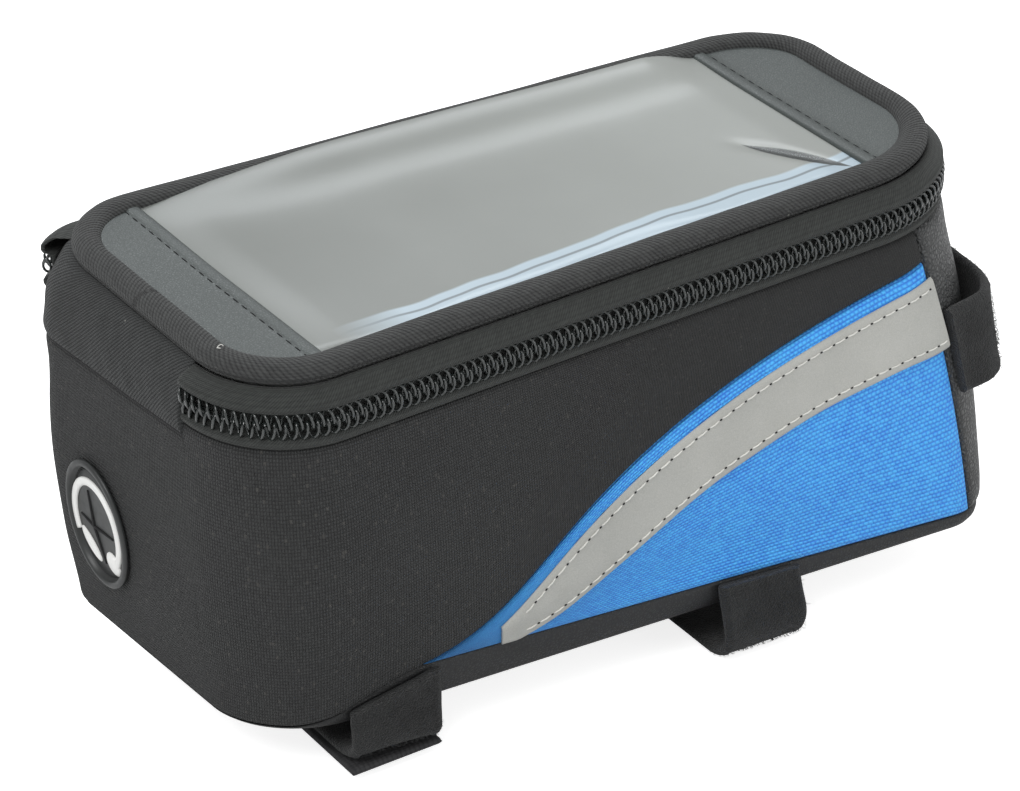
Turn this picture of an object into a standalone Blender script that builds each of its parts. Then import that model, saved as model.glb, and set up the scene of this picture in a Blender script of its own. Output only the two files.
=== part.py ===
# Top tube phone bag: zipped bag for a bicycle frame with a padded lid that holds a phone under a clear window.
# Metres. +X points to the head tube, -X to the rider, -Y is the near side. The window plane is level, and
# z = 0 is the underside of the bottom panel, which lies on the top tube. The straps hang below it.

import math

import bmesh
import bpy
import numpy as np

# Lid
BAG_HEIGHT = 0.097  # underside to window plane
LID_REAR = -0.0975
LID_FRONT = 0.1014
LID_HALF_WIDTH = (0.0452, 0.0424)  # near and far, at x = 0
LID_TAPER = (-0.032, -0.045)  # half width gained for each metre towards the front, near and far
LID_REAR_RADIUS = 0.022
LID_FRONT_RADIUS = (0.030, 0.022)  # near and far
PIPING_HALF_WIDTH = 0.0036
PIPING_HALF_HEIGHT = 0.0026
PIPING_RISE = 0.0004  # piping centre above the window plane
FILM_THICKNESS = 0.0005
WINDOW_REAR = -0.0745
WINDOW_FRONT = 0.0735
LID_PANEL_THICKNESS = 0.0012
FILM_LAP = 0.005  # how far the film runs under each end panel
POCKET_DEPTH = 0.005  # window plane to phone backing
BACKING_THICKNESS = 0.0012
SLOT_FROM_REAR = 0.0135  # phone slot, from the lid's rear edge
SLOT_LENGTH = 0.013
SLOT_HALF_WIDTH = 0.036

# Zip
ZIP_STANDOUT = 0.0034  # how far the zip stands outside the lid
ZIP_REAR_RADIUS = (0.0254, 0.016)  # near and far
ZIP_END = (0.0245, 0.0445)  # near and far end's distance from the bag's middle plane
SEAM_DROP = 0.0017  # window plane to the top of the upper tape
TAPE_BEND_DROP = 0.0044
COIL_TOP_DROP = 0.0066
ROW_HEIGHT = 0.0056
SPINE_HEIGHT = 0.0016
TOOTH_PITCH = 0.0026
TOOTH_GAP = 0.00035
TOOTH_TIP_TAPER = 0.00012
ROW_THICKNESS = 0.0022
TAPE_THICKNESS = 0.001
LOWER_TAPE_HEIGHT = 0.0022

# Sliders, parked head to head near the rear end of the far side
SLIDERS_X = -0.0505  # where the two sliders meet
SLIDER_REST = 0.0085  # from there to each slider's middle
SLIDER_LENGTH = 0.010
SLIDER_PLATE = 0.001
SLIDER_NECK = 0.0016
PARTED_HALF_LENGTH = 0.0059
CROWN_HALF_WIDTH = 0.0012
CROWN_BAR = 0.0009
CROWN_POST = 0.0011
CROWN_HALF_LENGTH = 0.0031
PULL_PIN_RADIUS = 0.0006
PULL_LENGTH = 0.022
PULL_HALF_WIDTH = 0.003
PULL_ARM = 0.0012
PULL_THICKNESS = 0.001

# Body
WALL = 0.003
LINING = 0.0008
REAR_RAKE = 0.0056  # the rear wall's foot stands this far in front of its top
FRONT_RAKE = 0.0012
REAR_BULGE = 0.0004
REAR_SKEW = 0.0025  # at the foot, the far rear corner stands back and the near one forward by this
FRONT_BULGE = 0.0015
SIDE_BULGE = 0.0015
BASE_HALF_WIDTH = 0.0468
BASE_TAPER = 0.075
BASE_REAR_RADIUS = (0.024, 0.008)  # near and far
BASE_FRONT_RADIUS = 0.014
FRONT_SEAM = 3.21  # station of the seam between side and front
SEAM_STEP = 0.007  # stations left free on each side of it
HINGE_DROP = (0.0185, 0.0240)  # window plane to the seam under the hinge panel, at its near and far end
HINGE_PANEL_THICKNESS = 0.0012
HEM_REAR = 0.0035  # fabric's lower edge above the underside
HEM_PEAK = 0.0125
HEM_PEAK_X = -0.052
HEM_RUN = 0.033
HEM_FRONT = 0.0055
BASE_THICKNESS = 0.002
BASE_INSET = 0.0008
BASE_ROUNDING = 0.0045

# Coloured side panel and reflective strip: ends and handles of their edge curves
BLUE_START_X = -0.053
BLUE_END_DROP = 0.0237  # window plane to the panel's tip at the front seam
BLUE_START_HANDLE = (0.0375, 0.0071)
BLUE_END_HANDLE = (-0.111, -0.0131)
STRIP_DROP = 0.0034  # blue edge above the strip
STRIP_START_X = -0.030
STRIP_END_DROP = 0.0455
STRIP_START_HANDLE = (0.030, 0.007)
STRIP_END_HANDLE = (-0.082, -0.0035)
STRIP_LIFT = 0.0003
STRIP_THICKNESS = 0.0006

# Headphone cable port in the rear wall
PORT_Y = 0.020
PORT_Z = 0.0315
PORT_HALF_WIDTH = 0.0135
PORT_HALF_HEIGHT = 0.0155
PORT_LIP = 0.0013
PORT_RIM = 0.0022
PORT_RECESS = 0.0011
PORT_SKIN = 0.0012
PORT_SLIT = 0.0005
PORT_SLIT_REACH = 0.75
PORT_THROUGH = 0.012  # reach of the cutters in front of the wall and behind it

# Straps
STRAP_THICKNESS = 0.0022
STRAP_WIDTH = 0.022
STRAP_CORNER = 0.0085  # radius of the bend between a strap's side and its underside
STRAP_BEND_START = 0.35  # share of the strap's drop at which the bend begins
REAR_STRAP_BACK = 0.0255  # lid's rear edge to the strap's rear edge
REAR_STRAP_DROP = 0.0079  # underside of the bag to the strap's lowest face
REAR_STRAP_BULGE = 0.0003
TAB_THICKNESS = 0.0018
TAB_OVERHANG = 0.0008  # how far the tab stands out behind the strap
STRAP_SEAT = 0.0004  # how deep each strap has pressed into the bottom panel
SEAT_MARGIN = 0.0015
FRONT_STRAP_BACK = 0.0774  # lid's front edge to the strap's rear edge
FRONT_STRAP_DROP = 0.0118
FRONT_STRAP_BULGE = 0.0030
HEAD_STRAP_Z = 0.0385
HEAD_STRAP_START = 3.25  # station of its sewn end
HEAD_STRAP_RUN = 0.3  # stations over which it rises from the wall
HEAD_STRAP_STANDOUT = 0.0073  # its outer face from the wall

GAP = 0.0003  # clearance left between pieces that touch

# Worked out from the sizes above
SEAM_Z = BAG_HEIGHT - SEAM_DROP
TAPE_BEND_Z = BAG_HEIGHT - TAPE_BEND_DROP
COIL_TOP_Z = BAG_HEIGHT - COIL_TOP_DROP
COIL_LOW_Z = COIL_TOP_Z - ROW_HEIGHT
LOWER_TAPE_Z = COIL_LOW_Z - GAP - LOWER_TAPE_HEIGHT
WALL_TOP_Z = LOWER_TAPE_Z - GAP
BACKING_Z = BAG_HEIGHT - POCKET_DEPTH
PIPING_Z = BAG_HEIGHT + PIPING_RISE
PIPING_LOW_Z = PIPING_Z - PIPING_HALF_HEIGHT
INNER_EDGE = 2 * PIPING_HALF_WIDTH + GAP
CHAIN_MIDDLE = TAPE_THICKNESS / 2  # tape's middle, inside the zip outline
REAR_STRAP_X = LID_REAR + REAR_STRAP_BACK
FRONT_STRAP_X = LID_FRONT - FRONT_STRAP_BACK
LID_AXIS = (LID_REAR - ZIP_STANDOUT, 0.0, (COIL_TOP_Z + COIL_LOW_Z) / 2)


def plan(station, rear, front, half, taper, rear_radius, front_radius):
    """Near half of a rounded outline. Stations 0-1 rear end, 1-2 rear corner, 2-3 side, 3-4 front corner, 4-5 front end."""

    def part(start):
        return np.clip(station - start, 0, 1)

    rear_turn = part(1) * math.pi / 2
    front_turn = part(3) * math.pi / 2
    x = rear + rear_radius * (1 - np.cos(rear_turn)) + front_radius * np.sin(front_turn)
    x = x + part(2) * (front - front_radius - rear - rear_radius)
    y = part(0) * (half - rear_radius) + rear_radius * np.sin(rear_turn)
    y = y - front_radius * (1 - np.cos(front_turn)) - part(4) * (half - front_radius)
    return x, -y * (1 + taper * x / half)


def place(xy, side, z):
    x, y = xy
    return np.stack(np.broadcast_arrays(x, y * side, z), axis=-1)


def by_side(side, pair):
    return np.where(np.asarray(side) > 0, *pair)


def lid_points(station, side, z, inset=0.0, rear_radius=(LID_REAR_RADIUS, LID_REAR_RADIUS)):
    """Points on the lid's outline, moved in by inset."""
    outline = plan(
        station,
        LID_REAR + inset,
        LID_FRONT - inset,
        by_side(side, LID_HALF_WIDTH) - inset,
        by_side(side, LID_TAPER),
        by_side(side, rear_radius) - inset,
        by_side(side, LID_FRONT_RADIUS) - inset,
    )
    return place(outline, side, z)


def zip_points(station, side, z, inset=0.0):
    radius = tuple(r - ZIP_STANDOUT for r in ZIP_REAR_RADIUS)
    return lid_points(station, side, z, inset - ZIP_STANDOUT, radius)


def body_points(station, side, z, inset=0.0):
    """Points on the body's outer face at height z, moved in by inset."""
    down = np.clip((WALL_TOP_Z - z) / WALL_TOP_Z, 0, 1)
    swell = 4 * down * (1 - down)

    def mix(top, bottom):
        return top + (bottom - top) * down

    x, y = plan(
        station,
        LID_REAR - ZIP_STANDOUT + REAR_RAKE * down - REAR_BULGE * swell + inset,
        LID_FRONT + ZIP_STANDOUT + FRONT_RAKE * down + FRONT_BULGE * swell - inset,
        mix(by_side(side, LID_HALF_WIDTH) + ZIP_STANDOUT, BASE_HALF_WIDTH) + SIDE_BULGE * swell - inset,
        mix(by_side(side, LID_TAPER), BASE_TAPER),
        mix(by_side(side, ZIP_REAR_RADIUS), by_side(side, BASE_REAR_RADIUS)) - inset,
        mix(by_side(side, LID_FRONT_RADIUS) + ZIP_STANDOUT, BASE_FRONT_RADIUS) - inset,
    )
    skew = REAR_SKEW * down * np.clip(x / LID_REAR, 0, 1)
    return place((x - skew * side * y / BASE_HALF_WIDTH, y), side, z)


def hinge_height(station, side):
    """Height of the seam under the hinge panel, lower towards the far side."""
    reach = np.interp(station * side, (-zip_end(-1), zip_end(1)), (1, 0))
    return BAG_HEIGHT - HINGE_DROP[0] - (HINGE_DROP[1] - HINGE_DROP[0]) * reach


def zip_end(side):
    """Station of the zip's near (side 1) or far (side -1) end."""
    station = np.linspace(0, 2, 200)
    outline = zip_points(station, side, 0.0)
    return float(np.interp(by_side(side, ZIP_END), -side * outline[:, 1], station))


def loop(counts):
    """Stations and sides once round the whole outline, with counts steps in each of the five stretches."""
    near = np.concatenate([np.linspace(k, k + 1, n, endpoint=False) for k, n in enumerate(counts)] + [[5.0]])
    station = np.concatenate([near, near[-2:0:-1]])
    side = np.concatenate([np.ones(len(near)), -np.ones(len(near) - 2)])
    return station, side


def bezier(start, start_handle, end_handle, end, steps=120):
    t = np.linspace(0, 1, steps)[:, None]
    a, d = np.array(start), np.array(end)
    b, c = a + start_handle, d + end_handle
    return (1 - t) ** 3 * a + 3 * (1 - t) ** 2 * t * b + 3 * (1 - t) * t**2 * c + t**3 * d


def ease(share):
    share = np.clip(share, 0, 1)
    return share * share * (3 - 2 * share)


def hem(x):
    """Height of the fabric's lower edge: low at the rear corner, a peak under the blue tip, then falling to the front."""
    rise = ease((x - HEM_PEAK_X + HEM_RUN) / HEM_RUN)
    fall = np.clip((x - HEM_PEAK_X) / (LID_FRONT - HEM_PEAK_X), 0, 1)
    return HEM_REAR + (HEM_PEAK - HEM_REAR) * rise + (HEM_FRONT - HEM_PEAK) * fall


def front_seam_x(z):
    return float(body_points(np.array(FRONT_SEAM), 1, z)[0])


def edge_curve(start_x, start_handle, end_handle, end_drop):
    end_z = BAG_HEIGHT - end_drop
    start = (start_x, float(hem(start_x)) + GAP)
    return bezier(start, start_handle, end_handle, (front_seam_x(end_z), end_z))


BLUE_EDGE = edge_curve(BLUE_START_X, BLUE_START_HANDLE, BLUE_END_HANDLE, BLUE_END_DROP)
STRIP_EDGE = edge_curve(STRIP_START_X, STRIP_START_HANDLE, STRIP_END_HANDLE, STRIP_END_DROP)


def height_on(curve, station, side):
    """Height at which each side station meets a curve drawn on the side."""
    z = np.full(station.shape, BAG_HEIGHT / 2)
    for _ in range(20):
        x = body_points(station, side, z)[..., 0]
        z = np.interp(x, curve[:, 0], curve[:, 1])
    return z


def hem_height(station, side):
    z = np.full(station.shape, HEM_REAR)
    for _ in range(10):
        z = hem(body_points(station, side, z)[..., 0])
    return z


def finish(name, vertices, faces, material, origin=(0.0, 0.0, 0.0), smooth=True):
    """Makes an object from points in world space, with its origin at the given place."""
    mesh = bpy.data.meshes.new(name)
    moved = np.asarray(vertices) - np.array(origin)
    mesh.from_pydata([tuple(v) for v in moved], [], [tuple(f) for f in faces])
    edit = bmesh.new()
    edit.from_mesh(mesh)
    bmesh.ops.recalc_face_normals(edit, faces=edit.faces)
    edit.to_mesh(mesh)
    edit.free()
    if smooth:
        mesh.shade_smooth()
        mesh.set_sharp_from_angle(angle=math.radians(35))
    mesh.materials.append(material)
    obj = bpy.data.objects.new(name, mesh)
    obj.location = origin
    bpy.context.scene.collection.objects.link(obj)
    return obj


def quads(rows, columns, wrap_rows, wrap_columns):
    faces = []
    for i in range(rows if wrap_rows else rows - 1):
        for j in range(columns if wrap_columns else columns - 1):
            i2, j2 = (i + 1) % rows, (j + 1) % columns
            faces.append((i * columns + j, i2 * columns + j, i2 * columns + j2, i * columns + j2))
    return faces


def swept(name, grid, material, closed=False, ladder=False, **options):
    """Closed profiles grid[k] carried along a path. An open path gets an end cap at each end.
    A ladder cap joins a profile's first half to its second, point by point, so that it can curve."""
    rows, columns = grid.shape[:2]
    faces = quads(rows, columns, closed, True)
    for first in () if closed else (0, (rows - 1) * columns):
        if ladder:
            last = first + columns - 1
            faces += [(first + k, first + k + 1, last - k - 1, last - k) for k in range(columns // 2 - 1)]
        else:
            faces.append(tuple(range(first, first + columns)))
    return finish(name, grid.reshape(-1, 3), faces, material, **options)


def bowl(name, rings, material, **options):
    """Closed rings joined one to the next, with a fan of faces across the first and the last."""
    grid = np.stack(rings)
    rows, columns = grid.shape[:2]
    faces = quads(rows, columns, False, True)
    vertices = np.concatenate([grid.reshape(-1, 3), [grid[0].mean(axis=0), grid[-1].mean(axis=0)]])
    for centre, first in ((rows * columns, 0), (rows * columns + 1, (rows - 1) * columns)):
        faces += [(centre, first + k, first + (k + 1) % columns) for k in range(columns)]
    return finish(name, vertices, faces, material, **options)


def shell_profile(station, side, low, top, rows, inset=0.0, thickness=WALL):
    """Outer face from low to top, then the inner face back down, at each station."""
    share = np.linspace(0, 1, rows)
    z = low[:, None] + (top - low)[:, None] * share
    outer = body_points(station[:, None], side[:, None], z, inset)
    inner = body_points(station[:, None], side[:, None], z[:, ::-1], inset + thickness)
    return np.concatenate([outer, inner], axis=1)


def paint(name, colour, roughness, metallic=0.0, alpha=1.0):
    material = bpy.data.materials.new(name)
    material.use_nodes = True
    shader = material.node_tree.nodes["Principled BSDF"]
    shader.inputs["Base Color"].default_value = (*colour, 1.0)
    shader.inputs["Roughness"].default_value = roughness
    shader.inputs["Metallic"].default_value = metallic
    shader.inputs["Alpha"].default_value = alpha
    material.diffuse_color = (*colour, alpha)
    return material


def helper(obj):
    """Marks a cutter or a part of a join, which isn't a piece by itself."""
    obj.hide_render = True
    obj.display_type = "WIRE"
    return obj


def combine(obj, other, operation):
    modifier = obj.modifiers.new(other.name, "BOOLEAN")
    modifier.operation = operation
    modifier.solver = "EXACT"
    modifier.object = helper(other)


def block(name, material, low, high, turn=None, origin=(0.0, 0.0, 0.0)):
    """Box between two corners, in the frame that turn maps to world space."""
    corners = np.array([[(low, high)[(n >> k) & 1][k] for k in range(3)] for n in range(8)])
    if turn is not None:
        corners = turn(corners)
    faces = [(0, 1, 3, 2), (4, 5, 7, 6), (0, 1, 5, 4), (2, 3, 7, 6), (0, 2, 6, 4), (1, 3, 7, 5)]
    return finish(name, corners, faces, material, origin=origin, smooth=False)


def make_shell(fabric, blue, reflective):
    """Black fabric round the rear and both sides, the blue side panels below it and a reflective strip on each."""
    last = FRONT_SEAM - SEAM_STEP
    station, side, low, top = [], [], [], []
    for hand in (1.0, -1.0):
        tip = np.interp(BLUE_START_X, *side_span(hem(BLUE_START_X), hand))
        steps = np.unique([*np.linspace(1, 2, 9), zip_end(hand) - 0.01, zip_end(hand) + 0.01])
        rear = np.concatenate([np.linspace(0, steps[0], 5)[:-1], steps, np.linspace(2, tip, 5)[1:-1]])
        flank = np.concatenate([np.linspace(tip, 3, 20)[:-1], np.linspace(3, last, 4)])
        both = np.concatenate([rear, flank])
        edge = hem_height(both, hand)
        edge[len(rear) :] = height_on(BLUE_EDGE, flank, hand) + GAP
        brim = np.where(both < zip_end(hand), hinge_height(both, hand), WALL_TOP_Z)
        for whole, half in ((station, both), (side, np.full(len(both), hand)), (low, edge), (top, brim)):
            whole.append(half[::-1] if hand > 0 else half[1:])
    station, side, low, top = (np.concatenate(whole) for whole in (station, side, low, top))
    swept("outer_shell", shell_profile(station, side, low, top, rows=7), fabric, ladder=True)
    for label, hand in (("near", 1.0), ("far", -1.0)):
        tip = np.interp(BLUE_START_X, *side_span(hem(BLUE_START_X), hand))
        flank = np.concatenate([np.linspace(tip, 3, 20)[:-1], np.linspace(3, last, 4)])
        panel_top = height_on(BLUE_EDGE, flank, hand) - GAP
        panel_low = hem_height(flank, hand)
        first = np.interp(STRIP_START_X, *side_span(HEM_PEAK, hand))
        strip = np.concatenate([np.linspace(first, 3, 16)[:-1], np.linspace(3, last, 4)])
        strip_top = height_on(BLUE_EDGE, strip, hand) - STRIP_DROP
        strip_low = np.maximum(height_on(STRIP_EDGE, strip, hand), hem_height(strip, hand) + GAP)
        hands = np.full(len(flank), hand)
        swept("side_panel_" + label, shell_profile(flank, hands, panel_low, panel_top, rows=7), blue, ladder=True)
        hands = np.full(len(strip), hand)
        grid = shell_profile(
            strip, hands, strip_low, strip_top, 4, -STRIP_LIFT - STRIP_THICKNESS, STRIP_THICKNESS
        )
        swept("reflective_strip_" + label, grid, reflective, ladder=True)


def side_span(z, side):
    """The x and the station at both ends of the long side, at height z."""
    ends = body_points(np.array([2.0, 3.0]), side, z)[:, 0]
    return ends, (2.0, 3.0)


def make_front_and_base(leather, lining):
    """Front end panel, bottom panel and the lining inside them."""
    near = np.concatenate([np.linspace(FRONT_SEAM + SEAM_STEP, 4, 9)[:-1], np.linspace(4, 5, 4)])
    station = np.concatenate([near, near[-2::-1]])
    side = np.concatenate([np.ones(len(near)), -np.ones(len(near) - 1)])
    low = hem_height(station, side)
    grid = shell_profile(station, side, low, np.full(len(station), WALL_TOP_Z), rows=9)
    swept("front_panel", grid, leather, ladder=True)
    station, side = loop((3, 8, 30, 9, 3))
    edge = hem_height(station, side) - GAP
    inside = WALL - 2 * GAP
    rings = [
        body_points(station, side, 0.0, BASE_INSET + BASE_ROUNDING),
        body_points(station, side, 0.3 * BASE_THICKNESS, BASE_INSET + 0.35 * BASE_ROUNDING),
        body_points(station, side, BASE_THICKNESS, BASE_INSET + 0.08 * BASE_ROUNDING),
        body_points(station, side, edge, BASE_INSET),
        body_points(station, side, edge, inside),
        body_points(station, side, BASE_THICKNESS + GAP, inside),
        body_points(station, side, BASE_THICKNESS, BASE_INSET + BASE_ROUNDING),
    ]
    bottom = bowl("bottom_panel", rings, leather)
    for name, rear in (("rear_seat", REAR_STRAP_X), ("front_seat", FRONT_STRAP_X)):
        low = (rear - SEAT_MARGIN, -2 * BASE_HALF_WIDTH, -BASE_THICKNESS)
        high = (rear + STRAP_WIDTH + SEAT_MARGIN, 2 * BASE_HALF_WIDTH, STRAP_SEAT)
        combine(bottom, block(name, leather, low, high), "DIFFERENCE")
    foot = BASE_THICKNESS + GAP
    brim = BAG_HEIGHT - HINGE_DROP[1] - GAP
    outside = WALL + GAP
    levels = np.linspace(foot + LINING, brim, 6)
    rings = [body_points(station, side, foot, BASE_INSET + BASE_ROUNDING)]
    rings += [body_points(station, side, z, outside) for z in levels]
    rings += [body_points(station, side, z, outside + LINING) for z in levels[::-1]]
    rings[-1] = body_points(station, side, foot + LINING + GAP, outside + LINING)
    rings += [body_points(station, side, foot + LINING, BASE_INSET + BASE_ROUNDING)]
    bowl("inner_lining", rings, lining)


def oval(depth, scale, steps=40):
    """Upright oval on the rear wall's outer face, at depth behind it, grown evenly by scale metres."""
    turn = np.linspace(0, 2 * math.pi, steps, endpoint=False)
    across = PORT_Y + (PORT_HALF_WIDTH + scale) * np.cos(turn)
    up = PORT_Z + (PORT_HALF_HEIGHT + scale) * np.sin(turn)
    points = []
    for y, z in zip(across, up):
        outline = body_points(np.linspace(0, 2, 80), -1, z)
        points.append((np.interp(y, outline[:, 1], outline[:, 0]) + depth, y, z))
    return np.array(points)


def make_port(rubber):
    """Rubber cable port: a lip outside the wall, a collar through it and a skin with a cross slit."""
    lip_back = -2 * GAP
    outside = lip_back - PORT_LIP
    inner = WALL + LINING + 3 * GAP
    collar = -PORT_RIM / 2
    rings = [
        oval(outside + PORT_RECESS + 0.0004, -PORT_RIM - 0.0006),
        oval(outside + PORT_RECESS, -PORT_RIM),
        oval(outside, -PORT_RIM + 0.0004),
        oval(outside, -0.0005),
        oval(outside + 0.0005, 0.0),
        oval(lip_back, 0.0),
        oval(lip_back, collar),
        oval(inner, collar),
        oval(inner, -PORT_RIM),
        oval(outside + PORT_RECESS + PORT_SKIN, -PORT_RIM),
        oval(outside + PORT_RECESS + PORT_SKIN, -PORT_RIM - 0.0006),
    ]
    port = bowl("cable_port", rings, rubber)
    reach_y = (PORT_HALF_WIDTH - PORT_RIM) * PORT_SLIT_REACH
    reach_z = (PORT_HALF_HEIGHT - PORT_RIM) * PORT_SLIT_REACH
    wall_x = float(body_points(np.array(0.0), 1, PORT_Z)[0])
    depth = (wall_x - PORT_THROUGH, wall_x + PORT_THROUGH)
    thin = PORT_SLIT / 2
    upright = ((depth[0], PORT_Y - thin, PORT_Z - reach_z), (depth[1], PORT_Y + thin, PORT_Z + reach_z))
    level = ((depth[0], PORT_Y - reach_y, PORT_Z - thin), (depth[1], PORT_Y + reach_y, PORT_Z + thin))
    combine(port, block("slit_upright", rubber, *upright), "DIFFERENCE")
    combine(port, block("slit_level", rubber, *level), "DIFFERENCE")
    hole = bowl(
        "port_hole",
        [oval(-PORT_THROUGH, collar + GAP), oval(PORT_THROUGH, collar + GAP)],
        rubber,
    )
    for name in ("outer_shell", "inner_lining"):
        combine(bpy.data.objects[name], hole, "DIFFERENCE")


def zip_stations(steps):
    """Stations along the zip, from its near end round the front to its far end."""
    halves = []
    for hand in (1, -1):
        corner = np.linspace(1, 2, steps[0])
        corner = np.concatenate([[zip_end(hand)], corner[corner > zip_end(hand) + 0.02]])
        halves.append(np.concatenate([corner, np.linspace(2, 3, steps[1])[1:], np.linspace(3, 4, steps[2])[1:], [5.0]]))
    station = np.concatenate([halves[0], halves[1][-2::-1]])
    side = np.concatenate([np.ones(len(halves[0])), -np.ones(len(halves[1]) - 1)])
    return station, side


def make_tapes(tape):
    """Upper tape, which slopes out from the lid seam to the coil, and lower tape above the wall."""
    station, side = zip_stations((9, 3, 9))
    upright_low = COIL_TOP_Z + GAP
    profile = [
        lid_points(station, side, SEAM_Z),
        zip_points(station, side, TAPE_BEND_Z),
        zip_points(station, side, upright_low),
        zip_points(station, side, upright_low, TAPE_THICKNESS),
        zip_points(station, side, TAPE_BEND_Z - TAPE_THICKNESS / 3, TAPE_THICKNESS),
        lid_points(station, side, SEAM_Z, TAPE_THICKNESS),
    ]
    upper = swept("upper_zip_tape", np.stack(profile, axis=1), tape, origin=LID_AXIS)
    profile = [
        zip_points(station, side, COIL_LOW_Z - GAP),
        zip_points(station, side, LOWER_TAPE_Z),
        zip_points(station, side, LOWER_TAPE_Z, TAPE_THICKNESS),
        zip_points(station, side, COIL_LOW_Z - GAP, TAPE_THICKNESS),
    ]
    swept("lower_zip_tape", np.stack(profile, axis=1), tape)
    return upper


def chain_path():
    """Middle line of the zip with its length measured along it, and the outward direction."""
    station, side = zip_stations((60, 200, 60))
    line = zip_points(station, side, 0.0, CHAIN_MIDDLE)[:, :2]
    length = np.concatenate([[0], np.cumsum(np.linalg.norm(np.diff(line, axis=0), axis=1))])
    ahead = np.gradient(line, length, axis=0)
    ahead /= np.linalg.norm(ahead, axis=1)[:, None]
    return length, line, np.stack([ahead[:, 1], -ahead[:, 0]], axis=1)


def make_teeth_row(name, offset, back_z, direction, plastic, origin=(0.0, 0.0, 0.0)):
    """One row of zip teeth: a spine with tapered teeth that fit between those of the other row."""
    length, line, outward = chain_path()
    half_tooth = TOOTH_PITCH / 4 - TOOTH_GAP / 2
    count = int((length[-1] - TOOTH_PITCH) / TOOTH_PITCH)
    middles = (np.arange(count) + 0.75 + offset) * TOOTH_PITCH
    edges = np.stack([middles - half_tooth, middles + half_tooth], axis=1)
    cuts = np.concatenate([[GAP], edges.reshape(-1), [length[-1] - GAP]])
    spine_z = back_z + direction * SPINE_HEIGHT
    tip_z = back_z + direction * (ROW_HEIGHT - SPINE_HEIGHT - GAP)

    def at(distance, out, z):
        middle = [np.interp(distance, length, line[:, k]) for k in (0, 1)]
        normal = [np.interp(distance, length, outward[:, k]) for k in (0, 1)]
        return [middle[0] + normal[0] * out, middle[1] + normal[1] * out, z]

    half = ROW_THICKNESS / 2
    vertices = []
    for cut in cuts:
        vertices += [at(cut, half, back_z), at(cut, half, spine_z), at(cut, -half, spine_z), at(cut, -half, back_z)]
    faces = [(0, 1, 2, 3), tuple(4 * (len(cuts) - 1) + k for k in range(4))]
    for k in range(len(cuts) - 1):
        a, b = 4 * k, 4 * k + 4
        faces += [(a, a + 1, b + 1, b), (a + 2, a + 3, b + 3, b + 2), (a + 3, a, b, b + 3)]
        middle = at((cuts[k] + cuts[k + 1]) / 2, 0.0, spine_z)
        parted = middle[1] > 0 and abs(middle[0] - SLIDERS_X) < PARTED_HALF_LENGTH
        if k % 2 == 0 or parted:
            faces.append((a + 1, a + 2, b + 2, b + 1))
            continue
        tip = len(vertices)
        start, end = cuts[k] + TOOTH_TIP_TAPER, cuts[k + 1] - TOOTH_TIP_TAPER
        vertices += [at(start, half, tip_z), at(end, half, tip_z), at(end, -half, tip_z), at(start, -half, tip_z)]
        faces += [
            (tip, tip + 1, tip + 2, tip + 3),
            (a + 1, b + 1, tip + 1, tip),
            (b + 1, b + 2, tip + 2, tip + 1),
            (b + 2, a + 2, tip + 3, tip + 2),
            (a + 2, a + 1, tip, tip + 3),
        ]
    return finish(name, vertices, faces, plastic, origin=origin, smooth=False)


def slider_frame(x):
    """Place on the far side of the zip at x, and a function from (along, out, up) there to world space."""
    slope = np.array([1.0, LID_TAPER[1]]) / math.hypot(1.0, LID_TAPER[1])
    out = np.array([-slope[1], slope[0]])
    y = LID_HALF_WIDTH[1] + ZIP_STANDOUT + LID_TAPER[1] * x
    centre = np.array([x, y]) - out * CHAIN_MIDDLE
    middle_z = (COIL_TOP_Z + COIL_LOW_Z) / 2

    def to_world(points):
        points = np.asarray(points)
        flat = centre + points[..., :1] * slope + points[..., 1:2] * out
        return np.concatenate([flat, middle_z + points[..., 2:3]], axis=-1)

    return to_world


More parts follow.
